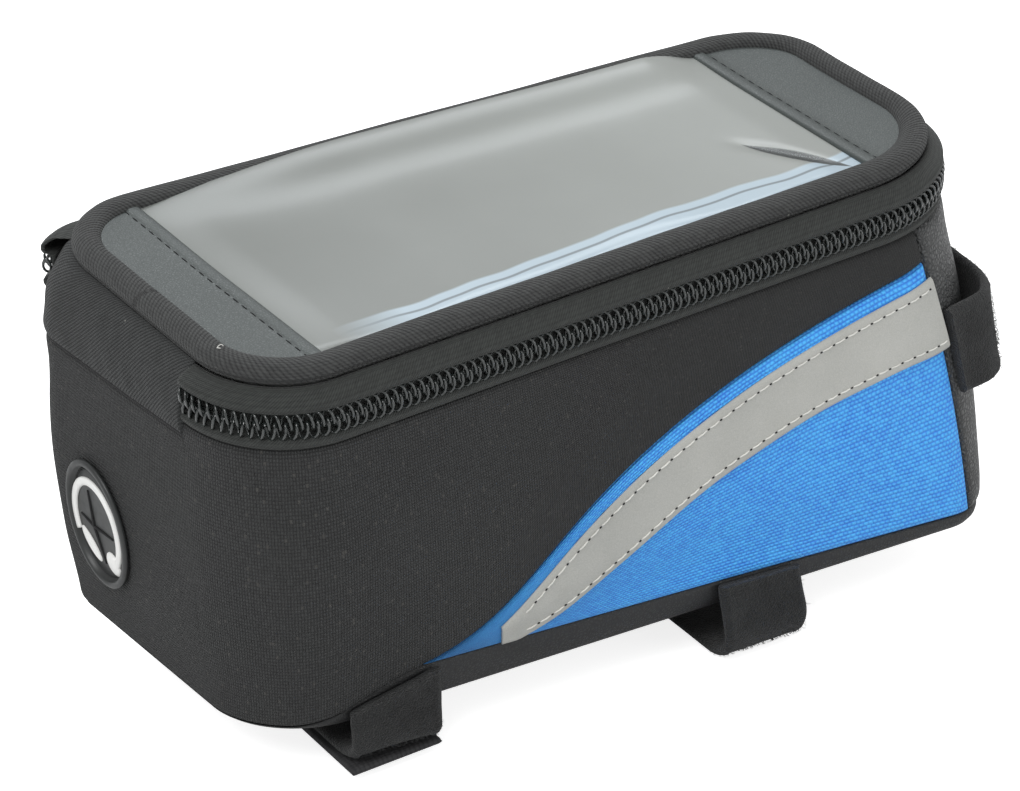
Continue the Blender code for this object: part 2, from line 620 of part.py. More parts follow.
def make_slider(label, hand, metal):
    """Slider and pull. The neck stands at the end that faces the other slider; hand is 1 on the front slider."""
    to_world = slider_frame(SLIDERS_X + hand * SLIDER_REST)
    origin = tuple(to_world([0.0, 0.0, 0.0]))
    half_length = SLIDER_LENGTH / 2
    inner = ROW_THICKNESS / 2 + GAP
    outer = inner + SLIDER_PLATE
    clear = ROW_HEIGHT / 2 + GAP
    tall = clear + SLIDER_PLATE
    lip = TAPE_THICKNESS / 2 + GAP
    profile = np.array(
        [(outer, -tall), (outer, tall), (lip, tall), (lip, clear), (inner, clear), (inner, -clear), (lip, -clear), (lip, -tall)]
    )
    ends = np.array([-half_length, half_length])
    for face in (1, -1):
        grid = np.zeros((2, len(profile), 3))
        grid[..., 0] = ends[:, None]
        grid[..., 1] = profile[:, 0] * face
        grid[..., 2] = profile[:, 1]
        name = "zip_slider_" + label if face == 1 else "slider_back_" + label
        piece = swept(name, to_world(grid), metal, origin=origin, smooth=False)
        if face == 1:
            slider = piece
        else:
            combine(slider, piece, "UNION")
    bite = SLIDER_PLATE / 2
    neck_end = -hand * (half_length - 0.0002)
    neck = sorted((neck_end, neck_end + hand * SLIDER_NECK))
    neck_half = (ROW_HEIGHT - 2 * SPINE_HEIGHT) / 2 - GAP
    combine(
        slider,
        block("slider_neck_" + label, metal, (neck[0], -inner - bite, -neck_half), (neck[1], inner + bite, neck_half), to_world),
        "UNION",
    )
    pin = outer + GAP + PULL_PIN_RADIUS
    bar_low = pin + PULL_PIN_RADIUS + GAP
    bar_high = bar_low + CROWN_BAR
    arch = [
        (-CROWN_HALF_LENGTH, outer - bite),
        (-CROWN_HALF_LENGTH, bar_low),
        (-CROWN_HALF_LENGTH + CROWN_POST, bar_high),
        (CROWN_HALF_LENGTH - CROWN_POST, bar_high),
        (CROWN_HALF_LENGTH, bar_low),
        (CROWN_HALF_LENGTH, outer - bite),
        (CROWN_HALF_LENGTH - CROWN_POST, outer - bite),
        (CROWN_HALF_LENGTH - CROWN_POST, bar_low),
        (-CROWN_HALF_LENGTH + CROWN_POST, bar_low),
        (-CROWN_HALF_LENGTH + CROWN_POST, outer - bite),
    ]
    grid = np.array([[(a, n, up) for a, n in arch] for up in (-CROWN_HALF_WIDTH, CROWN_HALF_WIDTH)])
    combine(slider, swept("slider_crown_" + label, to_world(grid), metal, smooth=False), "UNION")
    make_pull(label, hand, to_world, pin, metal)
    return slider


def make_pull(label, hand, to_world, pin, metal):
    """Pull tab: a pin through the crown, two arms beside it and a rounded tab."""
    pivot = tuple(to_world([0.0, pin, 0.0]))
    turn = np.linspace(0, 2 * math.pi, 12, endpoint=False)
    arm_inner = CROWN_HALF_WIDTH + GAP
    arm_outer = arm_inner + PULL_ARM
    circle = np.stack([PULL_PIN_RADIUS * np.cos(turn), pin + PULL_PIN_RADIUS * np.sin(turn)], axis=1)
    grid = np.array([[(a, n, up) for a, n in circle] for up in (-arm_inner - 0.0004, arm_inner + 0.0004)])
    pull = swept("zip_pull_" + label, to_world(grid), metal, origin=pivot, smooth=False)
    reach = CROWN_HALF_LENGTH + GAP * 2
    tab_turn = np.linspace(math.pi / 2, -math.pi / 2, 9)
    tip = PULL_LENGTH - PULL_HALF_WIDTH
    outline = [(-PULL_PIN_RADIUS, arm_inner), (-PULL_PIN_RADIUS, arm_outer), (reach, PULL_HALF_WIDTH)]
    outline += [(tip + PULL_HALF_WIDTH * math.cos(a), PULL_HALF_WIDTH * math.sin(a)) for a in tab_turn]
    outline += [(reach, -PULL_HALF_WIDTH), (-PULL_PIN_RADIUS, -arm_outer), (-PULL_PIN_RADIUS, -arm_inner)]
    outline += [(reach, -arm_inner), (reach, arm_inner)]
    low, high = pin - PULL_THICKNESS / 2, pin + PULL_THICKNESS / 2
    grid = np.array([[(hand * a, n, up) for a, up in outline] for n in (low, high)])
    combine(pull, swept("pull_tab_" + label, to_world(grid), metal, smooth=False), "UNION")


def make_hinge_panel(fabric):
    """Ribbed panel between the lid seam and the top of the rear wall."""
    near, far = np.linspace(zip_end(1) - 0.02, 0, 5), np.linspace(0, zip_end(-1) - 0.02, 12)
    station = np.concatenate([near, far[1:]])
    side = np.concatenate([np.ones(5), -np.ones(11)])
    top, bottom = SEAM_Z, hinge_height(station, side) + GAP
    outer, inner = [], []
    for share in np.linspace(0, 1, 6):
        z = top + (bottom - top) * share
        for points, inset in ((outer, 0.0), (inner, HINGE_PANEL_THICKNESS)):
            upper = lid_points(station, side, z, inset)
            lower = body_points(station, side, bottom, inset)
            upper[:, :2] += (lower[:, :2] - upper[:, :2]) * share
            points.append(upper)
    swept("hinge_panel", np.stack(outer + inner[::-1], axis=1), fabric, ladder=True)


def make_lid(padding, leather, film, backing):
    """Piping, window film, two end panels and the dished phone backing."""
    station, side = loop((3, 8, 12, 8, 3))
    turn = np.linspace(0, 2 * math.pi, 10, endpoint=False)
    ring = []
    for angle in turn:
        inset = PIPING_HALF_WIDTH * (1 - math.cos(angle))
        ring.append(lid_points(station, side, PIPING_Z + PIPING_HALF_HEIGHT * math.sin(angle), inset))
    pieces = [swept("lid_piping", np.stack(ring, axis=1), padding, closed=True, origin=LID_AXIS)]
    half_film = FILM_THICKNESS / 2
    film_rear, film_front = WINDOW_REAR - FILM_LAP, WINDOW_FRONT + FILM_LAP
    for name, rear, front, low, high, material in (
        ("window_film", film_rear, film_front, -half_film, half_film, film),
        ("lid_panel_rear", -1.0, WINDOW_REAR, half_film + GAP, half_film + GAP + LID_PANEL_THICKNESS, leather),
        ("lid_panel_front", WINDOW_FRONT, 1.0, half_film + GAP, half_film + GAP + LID_PANEL_THICKNESS, leather),
    ):
        outline = lid_points(station, side, 0.0, INNER_EDGE)[:, :2]
        pieces.append(sheet_between(name, outline, rear, front, BAG_HEIGHT + low, BAG_HEIGHT + high, material))
    rim = PIPING_HALF_WIDTH
    rim_top = PIPING_LOW_Z - GAP
    floor = BACKING_Z - BACKING_THICKNESS
    rings = [
        lid_points(station, side, floor, rim + BACKING_THICKNESS),
        lid_points(station, side, BACKING_Z, rim),
        lid_points(station, side, rim_top, rim),
        lid_points(station, side, rim_top, rim + BACKING_THICKNESS),
        lid_points(station, side, BACKING_Z, rim + BACKING_THICKNESS + GAP),
    ]
    dish = bowl("phone_backing", rings, backing, origin=LID_AXIS)
    slot_rear = LID_REAR + SLOT_FROM_REAR
    slot = block(
        "phone_slot",
        backing,
        (slot_rear, -SLOT_HALF_WIDTH, floor - 0.01),
        (slot_rear + SLOT_LENGTH, SLOT_HALF_WIDTH, BACKING_Z + 0.01),
    )
    combine(dish, slot, "DIFFERENCE")
    return pieces + [dish]


def sheet_between(name, outline, rear, front, low, high, material):
    """Flat sheet inside an outline, cut straight across at x = rear and x = front."""
    edit = bmesh.new()
    corners = [edit.verts.new((x, y, low)) for x, y in outline]
    edit.faces.new(corners)
    for x, way in ((rear, -1), (front, 1)):
        everything = list(edit.verts) + list(edit.edges) + list(edit.faces)
        bmesh.ops.bisect_plane(
            edit, geom=everything, plane_co=(x, 0, 0), plane_no=(way, 0, 0), clear_outer=True, dist=1e-6
        )
    top = bmesh.ops.extrude_face_region(edit, geom=list(edit.faces))["geom"]
    raised = [v for v in top if isinstance(v, bmesh.types.BMVert)]
    bmesh.ops.translate(edit, verts=raised, vec=(0, 0, high - low))
    index = {v: k for k, v in enumerate(edit.verts)}
    vertices = [tuple(v.co) for v in edit.verts]
    faces = [[index[v] for v in f.verts] for f in edit.faces]
    edit.free()
    return finish(name, vertices, faces, material, origin=LID_AXIS, smooth=False)


def strap_path(x, drop, bulge):
    """Outer and inner (y, z) points of a strap at x: down from the near hem, below the bag and up to the far hem."""
    top = float(hem(x)) - 2 * GAP
    outline = body_points(np.linspace(2, 3, 40), 1, top)
    half = -np.interp(x, outline[:, 0], outline[:, 1]) - BASE_INSET + GAP + STRAP_THICKNESS
    bend = -STRAP_BEND_START * drop
    z = np.linspace(top, bend, 6)
    y = half + bulge * ease((top - z) / (top - bend))
    turn = np.linspace(0, math.pi / 2, 8)[1:]
    y = np.concatenate([y, half + bulge - STRAP_CORNER * (1 - np.cos(turn))])
    z = np.concatenate([z, bend - (drop + bend) * np.sin(turn)])
    outer = np.concatenate([np.stack([-y, z], axis=1), np.stack([y, z], axis=1)[::-1]])
    ahead = np.gradient(outer, axis=0)
    ahead /= np.linalg.norm(ahead, axis=1)[:, None]
    return outer, outer + STRAP_THICKNESS * np.stack([-ahead[:, 1], ahead[:, 0]], axis=1)


def make_straps(strap, webbing):
    """Two straps below the bag, sewn in under the fabric's lower edge, a tab on the rear one, and the head tube strap."""
    for name, x, drop, bulge in (
        ("rear_strap", REAR_STRAP_X, REAR_STRAP_DROP, REAR_STRAP_BULGE),
        ("front_strap", FRONT_STRAP_X, FRONT_STRAP_DROP, FRONT_STRAP_BULGE),
    ):
        rear, front = strap_path(x, drop, bulge), strap_path(x + STRAP_WIDTH, drop, bulge)
        rows = []
        for end, face in ((x, rear[0]), (x + STRAP_WIDTH, front[0]), (x + STRAP_WIDTH, front[1]), (x, rear[1])):
            rows.append(np.column_stack([np.full(len(face), end), face]))
        swept(name, np.stack(rows, axis=1), strap)
    tab_half = strap_path(REAR_STRAP_X, REAR_STRAP_DROP, REAR_STRAP_BULGE)[0][:, 0].max()
    tab_top = -REAR_STRAP_DROP - GAP
    tab = block(
        "rear_strap_tab",
        webbing,
        (REAR_STRAP_X - TAB_OVERHANG, -tab_half, tab_top - TAB_THICKNESS),
        (REAR_STRAP_X + STRAP_WIDTH + TAB_OVERHANG, tab_half, tab_top),
    )
    rounding = tab.modifiers.new("rounding", "BEVEL")
    rounding.width = TAB_THICKNESS / 3
    rounding.segments = 2
    near = np.concatenate([np.linspace(HEAD_STRAP_START, 4, 12), [4.5, 5.0]])
    station = np.concatenate([near, near[-2::-1]])
    side = np.concatenate([np.ones(len(near)), -np.ones(len(near) - 1)])
    rise = GAP + (HEAD_STRAP_STANDOUT - STRAP_THICKNESS - GAP) * ease((station - HEAD_STRAP_START) / HEAD_STRAP_RUN)
    low, high = HEAD_STRAP_Z, HEAD_STRAP_Z + STRAP_WIDTH
    rows = []
    for z, lift in ((low, STRAP_THICKNESS), (high, STRAP_THICKNESS), (high, 0.0), (low, 0.0)):
        rows.append(body_points(station, side, z, -rise - lift))
    swept("head_strap", np.stack(rows, axis=1), strap)


def main():
    for obj in list(bpy.data.objects):
        bpy.data.objects.remove(obj, do_unlink=True)
    fabric = paint("black_fabric", (0.026, 0.026, 0.028), 0.9)
    blue = paint("blue_fabric", (0.045, 0.3, 0.87), 0.75)
    reflective = paint("reflective_tape", (0.37, 0.37, 0.34), 0.45)
    leather = paint("grey_leatherette", (0.085, 0.1, 0.098), 0.55)
    padding = paint("piping_fabric", (0.035, 0.035, 0.038), 0.85)
    film = paint("clear_film", (0.9, 0.92, 0.93), 0.08, alpha=0.25)
    backing = paint("grey_backing", (0.37, 0.38, 0.37), 0.8)
    lining = paint("lining", (0.12, 0.12, 0.125), 0.85)
    rubber = paint("port_rubber", (0.03, 0.03, 0.032), 0.5)
    tape = paint("zip_tape", (0.02, 0.02, 0.022), 0.8)
    plastic = paint("zip_teeth", (0.03, 0.033, 0.033), 0.35)
    metal = paint("slider_metal", (0.05, 0.05, 0.052), 0.35, metallic=0.8)
    strap = paint("loop_pile", (0.02, 0.02, 0.022), 0.95)
    webbing = paint("webbing", (0.018, 0.018, 0.02), 0.85)

    axis = bpy.data.objects.new("lid_axis", None)
    axis.location = LID_AXIS
    bpy.context.scene.collection.objects.link(axis)

    make_shell(fabric, blue, reflective)
    make_front_and_base(leather, lining)
    make_port(rubber)
    lid = make_lid(padding, leather, film, backing)
    lid.append(make_tapes(tape))
    lid.append(make_teeth_row("upper_zip_teeth", 0.0, COIL_TOP_Z, -1, plastic, LID_AXIS))
    make_teeth_row("lower_zip_teeth", 0.5, COIL_LOW_Z, 1, plastic)
    for piece in lid:
        piece.parent = axis
        piece.location = (0.0, 0.0, 0.0)
    make_slider("front", 1, metal)
    make_slider("rear", -1, metal)
    make_hinge_panel(fabric)
    make_straps(strap, webbing)


main()
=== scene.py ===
import math

import bmesh
import bpy
import numpy as np
from mathutils import Matrix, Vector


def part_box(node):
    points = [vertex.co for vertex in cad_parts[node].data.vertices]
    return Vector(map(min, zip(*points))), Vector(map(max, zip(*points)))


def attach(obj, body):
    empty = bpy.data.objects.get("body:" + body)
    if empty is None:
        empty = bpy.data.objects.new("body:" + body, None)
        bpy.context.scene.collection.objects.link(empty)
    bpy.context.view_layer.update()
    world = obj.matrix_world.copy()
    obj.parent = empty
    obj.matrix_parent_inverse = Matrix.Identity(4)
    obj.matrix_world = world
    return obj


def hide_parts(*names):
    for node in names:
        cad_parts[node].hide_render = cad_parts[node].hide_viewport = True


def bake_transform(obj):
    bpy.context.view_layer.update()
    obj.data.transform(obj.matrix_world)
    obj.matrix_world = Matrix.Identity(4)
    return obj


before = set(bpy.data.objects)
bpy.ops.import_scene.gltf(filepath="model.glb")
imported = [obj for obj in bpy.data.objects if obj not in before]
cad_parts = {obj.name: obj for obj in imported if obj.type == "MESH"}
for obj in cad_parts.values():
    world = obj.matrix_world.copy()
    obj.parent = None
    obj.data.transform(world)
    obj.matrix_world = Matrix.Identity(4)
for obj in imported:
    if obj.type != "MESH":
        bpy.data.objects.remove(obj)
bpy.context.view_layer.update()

# Lengths are in metres. Pairs hold the near side's value and the far side's. The window plane is level at
# bagHeight, and z = 0 is the underside of the bag.
bag = {
    "bagHeight": 0.097,
    "lidRear": -0.0975,
    "lidFront": 0.1014,
    "lidHalfWidth": (0.0452, 0.0424),
    "lidTaper": (-0.032, -0.045),
    "rearRadius": (0.022, 0.022),
    "frontRadius": (0.030, 0.022),
    "zipRearRadius": (0.0254, 0.016),
    "zipStandout": 0.0034,
    "zipEnd": (0.0245, 0.0445),
    "wallTop": 0.082,
    "rearRake": 0.0056,
    "frontRake": 0.0012,
    "rearBulge": 0.0004,
    "rearSkew": 0.0025,
    "frontBulge": 0.0015,
    "sideBulge": 0.0015,
    "baseHalfWidth": 0.0468,
    "baseTaper": 0.075,
    "baseRearRadius": (0.024, 0.008),
    "baseFrontRadius": 0.014,
    "baseInset": 0.0008,
    "frontSeam": 3.21,
    "hingeSeam": (0.0785, 0.0730),
}


def bySide(side, pair):
    return np.where(np.asarray(side) > 0, *pair)


def planOutline(station, rear, front, half, taper, rearRadius, frontRadius):
    # near half of a rounded outline: 0-1 rear end, 1-2 rear corner, 2-3 side, 3-4 front corner, 4-5 front end
    def part(start):
        return np.clip(station - start, 0, 1)

    rearTurn = part(1) * math.pi / 2
    frontTurn = part(3) * math.pi / 2
    x = rear + rearRadius * (1 - np.cos(rearTurn)) + frontRadius * np.sin(frontTurn)
    x = x + part(2) * (front - frontRadius - rear - rearRadius)
    y = part(0) * (half - rearRadius) + rearRadius * np.sin(rearTurn)
    y = y - frontRadius * (1 - np.cos(frontTurn)) - part(4) * (half - frontRadius)
    return x, -y * (1 + taper * x / half)


def place(xy, side, z):
    x, y = xy
    return np.stack(np.broadcast_arrays(x, y * side, z), axis=-1)


def lidPoint(station, side, z, inset=0.0, rearRadius=bag["rearRadius"]):
    outline = planOutline(
        station,
        bag["lidRear"] + inset,
        bag["lidFront"] - inset,
        bySide(side, bag["lidHalfWidth"]) - inset,
        bySide(side, bag["lidTaper"]),
        bySide(side, rearRadius) - inset,
        bySide(side, bag["frontRadius"]) - inset,
    )
    return place(outline, side, z)


def zipPoint(station, side, z, inset=0.0):
    out = bag["zipStandout"]
    return lidPoint(station, side, z, inset - out, tuple(r - out for r in bag["zipRearRadius"]))


def bodyPoint(station, side, z, inset=0.0):
    # outline at height z, mixed between the zip's outline at the top and the base's at the bottom
    down = np.clip((bag["wallTop"] - z) / bag["wallTop"], 0, 1)
    swell = 4 * down * (1 - down)
    out = bag["zipStandout"]

    def mix(top, bottom):
        return top + (bottom - top) * down

    x, y = planOutline(
        station,
        bag["lidRear"] - out + bag["rearRake"] * down - bag["rearBulge"] * swell + inset,
        bag["lidFront"] + out + bag["frontRake"] * down + bag["frontBulge"] * swell - inset,
        mix(bySide(side, bag["lidHalfWidth"]) + out, bag["baseHalfWidth"]) + bag["sideBulge"] * swell - inset,
        mix(bySide(side, bag["lidTaper"]), bag["baseTaper"]),
        mix(bySide(side, bag["zipRearRadius"]), bySide(side, bag["baseRearRadius"])) - inset,
        mix(bySide(side, bag["frontRadius"]) + out, bag["baseFrontRadius"]) - inset,
    )
    skew = bag["rearSkew"] * down * np.clip(x / bag["lidRear"], 0, 1)
    return place((x - skew * side * y / bag["baseHalfWidth"], y), side, z)


def stationAtWidth(outline, y):
    # station on the rear half of an outline whose distance from the middle plane is y
    return float(np.interp(y, np.abs(outline[:, 1]), np.linspace(0, 2, len(outline))))


def zipEnd(side):
    outline = zipPoint(np.linspace(0, 2, 400), side, 0.0)
    return stationAtWidth(outline, bag["zipEnd"][0 if side > 0 else 1])


def hingeHeight(station, side):
    # the seam under the hinge panel falls evenly from its near end to its far end
    share = np.interp(np.asarray(station) * side, (-zipEnd(-1), zipEnd(1)), (1, 0))
    return bag["hingeSeam"][0] + (bag["hingeSeam"][1] - bag["hingeSeam"][0]) * share


def bezier(points, steps=160):
    # cubic curve: each control point weighted by its Bernstein term
    t = np.linspace(0, 1, steps)[:, None]
    a, b, c, d = (np.array(p) for p in points)
    return (1 - t) ** 3 * a + 3 * (1 - t) ** 2 * t * b + 3 * (1 - t) * t**2 * c + t**3 * d


hemLine = {
    "rear": 0.0035, "rise": 0.009, "fall": 0.007, "riseStart": -0.085, "riseLength": 0.033, "peak": -0.052,
}


def hem(x):
    # height of the fabric's lower edge: low at the rear, a peak under the blue tip, falling to the front
    rise = smooth((x - hemLine["riseStart"]) / hemLine["riseLength"])
    fall = np.clip((x - hemLine["peak"]) / (bag["lidFront"] - hemLine["peak"]), 0, 1)
    return hemLine["rear"] + hemLine["rise"] * rise - hemLine["fall"] * fall


def smooth(value):
    value = np.clip(value, 0, 1)
    return value * value * (3 - 2 * value)


def ripple(a, b, seed, scale):
    # low wave pattern: a sum of sines in turned directions, about -1 to 1
    total = 0.0
    for k in range(5):
        turn = seed * 1.7 + k * 2.4
        freq = 2 * math.pi / scale * (0.7 + 0.35 * k)
        wave = np.sin(freq * (a * math.cos(turn) + b * math.sin(turn)) + seed * 3.1 + k * 1.9)
        total = total + wave / (1 + 0.8 * k)
    return total / 2.2


def closeStations(counts):
    # stations and sides once round the whole outline
    near = np.concatenate([np.linspace(k, k + 1, n, endpoint=False) for k, n in enumerate(counts)] + [[5.0]])
    station = np.concatenate([near, near[-2:0:-1]])
    side = np.concatenate([np.ones(len(near)), -np.ones(len(near) - 2)])
    return station, side


def denseEnds(count, strength=0.75):
    # 0 to 1, closer together near both ends
    even = np.linspace(0, 1, count)
    return even * (1 - strength) + (1 - np.cos(math.pi * even)) / 2 * strength


def gridFaces(rows, columns, wrapRows=False, wrapColumns=False, start=0):
    # quads between neighbours of a grid of rows by columns points
    i = np.arange(rows if wrapRows else rows - 1)[:, None]
    j = np.arange(columns if wrapColumns else columns - 1)[None, :]
    i2, j2 = (i + 1) % rows, (j + 1) % columns
    quad = np.stack(
        np.broadcast_arrays(i * columns + j, i2 * columns + j, i2 * columns + j2, i * columns + j2), axis=-1
    )
    return quad.reshape(-1, 4) + start


def makeMesh(name, vertices, quads, material, uv=None):
    # quads is one array of corner numbers; uv holds one pair for each vertex, in metres along and across
    vertices = np.asarray(vertices, dtype=float).reshape(-1, 3)
    quads = np.asarray(quads)
    a, b, c, d = (vertices[quads[:, k]] for k in range(4))
    volume = np.einsum("ij,ij->i", a, np.cross(b, c)).sum() + np.einsum("ij,ij->i", a, np.cross(c, d)).sum()
    if volume < 0:
        quads = quads[:, ::-1]
    mesh = bpy.data.meshes.new(name)
    mesh.vertices.add(len(vertices))
    mesh.vertices.foreach_set("co", vertices.ravel())
    mesh.loops.add(quads.size)
    mesh.loops.foreach_set("vertex_index", quads.ravel().astype(np.int32))
    mesh.polygons.add(len(quads))
    mesh.polygons.foreach_set("loop_start", np.arange(0, quads.size, 4, dtype=np.int32))
    mesh.update(calc_edges=True)
    if uv is not None:
        layer = mesh.uv_layers.new(name="cloth")
        layer.data.foreach_set("uv", np.asarray(uv, dtype=np.float32).reshape(-1, 2)[quads.ravel()].ravel())
    mesh.validate()
    mesh.shade_smooth()
    mesh.materials.append(material)
    obj = bpy.data.objects.new(name, mesh)
    bpy.context.scene.collection.objects.link(obj)
    return obj


def lengthsAlong(grid, axis):
    # running length of a grid's lines, averaged over the other direction
    step = np.linalg.norm(np.diff(grid, axis=axis), axis=-1).mean(axis=1 - axis)
    return np.concatenate([[0], np.cumsum(step)])


def clothUv(grid):
    # metres along and across a grid, for patterns that follow the cloth
    return np.stack(np.meshgrid(lengthsAlong(grid, 0), lengthsAlong(grid, 1), indexing="ij"), axis=-1)


def runAlong(path):
    # running length of a path
    return np.concatenate([[0], np.cumsum(np.linalg.norm(np.diff(path, axis=0), axis=1))])


def pointsAt(where, run, path):
    # a path's points where its running number has the given values
    return np.stack([np.interp(where, run, column) for column in path.T], axis=-1)


def makeSlab(name, outer, inner, material, ringed=False):
    # a sheet with thickness: outer and inner are grids of the same size, joined round their borders
    rows, columns = outer.shape[:2]
    count = rows * columns
    faces = [gridFaces(rows, columns, ringed), gridFaces(rows, columns, ringed, start=count)[:, ::-1]]
    line = np.arange(rows if ringed else rows - 1)
    after = (line + 1) % rows
    for j, turn in ((0, 1), (columns - 1, -1)):
        strip = np.stack([line * columns + j, after * columns + j], axis=-1)
        faces.append(np.concatenate([strip[:, ::-1], strip + count], axis=1)[:, ::turn])
    if not ringed:
        across = np.arange(columns - 1)
        for i, turn in ((0, -1), (rows - 1, 1)):
            strip = np.stack([i * columns + across, i * columns + across + 1], axis=-1)
            faces.append(np.concatenate([strip[:, ::-1], strip + count], axis=1)[:, ::turn])
    uv = clothUv(outer)
    points = np.concatenate([outer.reshape(-1, 3), inner.reshape(-1, 3)])
    return makeMesh(name, points, np.concatenate(faces), material, np.concatenate([uv.reshape(-1, 2)] * 2))


def makeTube(name, path, radius, material, sides, up):
    # a circle of the given radius carried along a path, closed by a fan at each end; up is any direction
    # that the path doesn't take
    path = np.asarray(path, dtype=float)
    ahead = np.gradient(path, axis=0)
    ahead /= np.linalg.norm(ahead, axis=1)[:, None]
    across = np.cross(ahead, np.broadcast_to(up, path.shape))
    across /= np.linalg.norm(across, axis=1)[:, None]
    above = np.cross(across, ahead)
    radius = np.broadcast_to(radius, len(path)).astype(float)
    turn = np.linspace(0, 2 * math.pi, sides, endpoint=False)
    rings = path[:, None] + radius[:, None, None] * (
        np.cos(turn)[None, :, None] * across[:, None] + np.sin(turn)[None, :, None] * above[:, None]
    )
    rows = len(path)
    faces = [gridFaces(rows, sides, False, True)]
    k = np.arange(0, sides, 2)
    for centre, first, turnRound in ((rows * sides, 0, 1), (rows * sides + 1, (rows - 1) * sides, -1)):
        fan = np.stack(
            [np.full(len(k), centre), first + k, first + (k + 1) % sides, first + (k + 2) % sides], -1
        )
        faces.append(fan[:, ::turnRound])
    vertices = np.concatenate([rings.reshape(-1, 3), path[:1], path[-1:]])
    uv = np.stack(np.meshgrid(runAlong(path), turn * radius.mean(), indexing="ij"), axis=-1).reshape(-1, 2)
    return makeMesh(name, vertices, np.concatenate(faces), material, np.concatenate([uv, uv[:1], uv[-1:]]))


def manyThreads(name, starts, middles, ends, radius, material):
    # one mesh of short thread pieces, each a four-sided tube that arches from start over middle to end
    starts, middles, ends = (np.asarray(p, dtype=float) for p in (starts, middles, ends))
    t = np.array([0.0, 0.16, 0.5, 0.84, 1.0])[None, :, None]
    line = (1 - t) ** 2 * starts[:, None] + 2 * (1 - t) * t * middles[:, None] + t**2 * ends[:, None]
    ahead = np.gradient(line, axis=1)
    ahead /= np.linalg.norm(ahead, axis=-1, keepdims=True)
    above = middles - (starts + ends) / 2
    above /= np.linalg.norm(above, axis=-1, keepdims=True) + 1e-12
    across = np.cross(ahead, above[:, None])
    across /= np.linalg.norm(across, axis=-1, keepdims=True) + 1e-12
    above = np.cross(across, ahead)
    thick = np.array([0.35, 0.9, 1.0, 0.9, 0.35])[None, :, None] * np.reshape(radius, (-1, 1, 1))
    sides = [across * thick, above * thick, -across * thick, -above * thick]
    rings = np.stack([line + s for s in sides], axis=2)
    count, rows = rings.shape[:2]
    base = np.arange(count)[:, None, None] * rows * 4
    tube = gridFaces(rows, 4, False, True)[None] + base
    caps = np.array([[3, 2, 1, 0], [rows * 4 - 4, rows * 4 - 3, rows * 4 - 2, rows * 4 - 1]])[None] + base
    faces = np.concatenate([tube.reshape(-1, 4), caps.reshape(-1, 4)])
    return makeMesh(name, rings.reshape(-1, 3), faces, material)


def stitchRow(path, normal, length, gap, lift):
    # start, middle and end of every stitch along a path, arched off the surface by lift
    path, normal = np.asarray(path, dtype=float), np.asarray(normal, dtype=float)
    normal = np.broadcast_to(normal, path.shape)
    run = runAlong(path)
    first = np.arange(0, run[-1] - length, length + gap)

    def at(distance, rise):
        spot, up = pointsAt(distance, run, path), pointsAt(distance, run, normal)
        return spot + up / np.linalg.norm(up, axis=-1, keepdims=True) * rise

    return at(first, -lift * 0.6), at(first + length / 2, lift * 1.6), at(first + length, -lift * 0.6)


def joinRows(rows):
    return [np.concatenate([row[k] for row in rows]) for k in range(3)]


def newGroup(name, inputs, outputs):
    group = bpy.data.node_groups.new(name, "ShaderNodeTree")
    for label, kind, value in inputs:
        socket = group.interface.new_socket(label, in_out="INPUT", socket_type=kind)
        if value is not None:
            socket.default_value = value
    for label, kind in outputs:
        group.interface.new_socket(label, in_out="OUTPUT", socket_type=kind)
    return group, group.nodes.new("NodeGroupInput"), group.nodes.new("NodeGroupOutput")


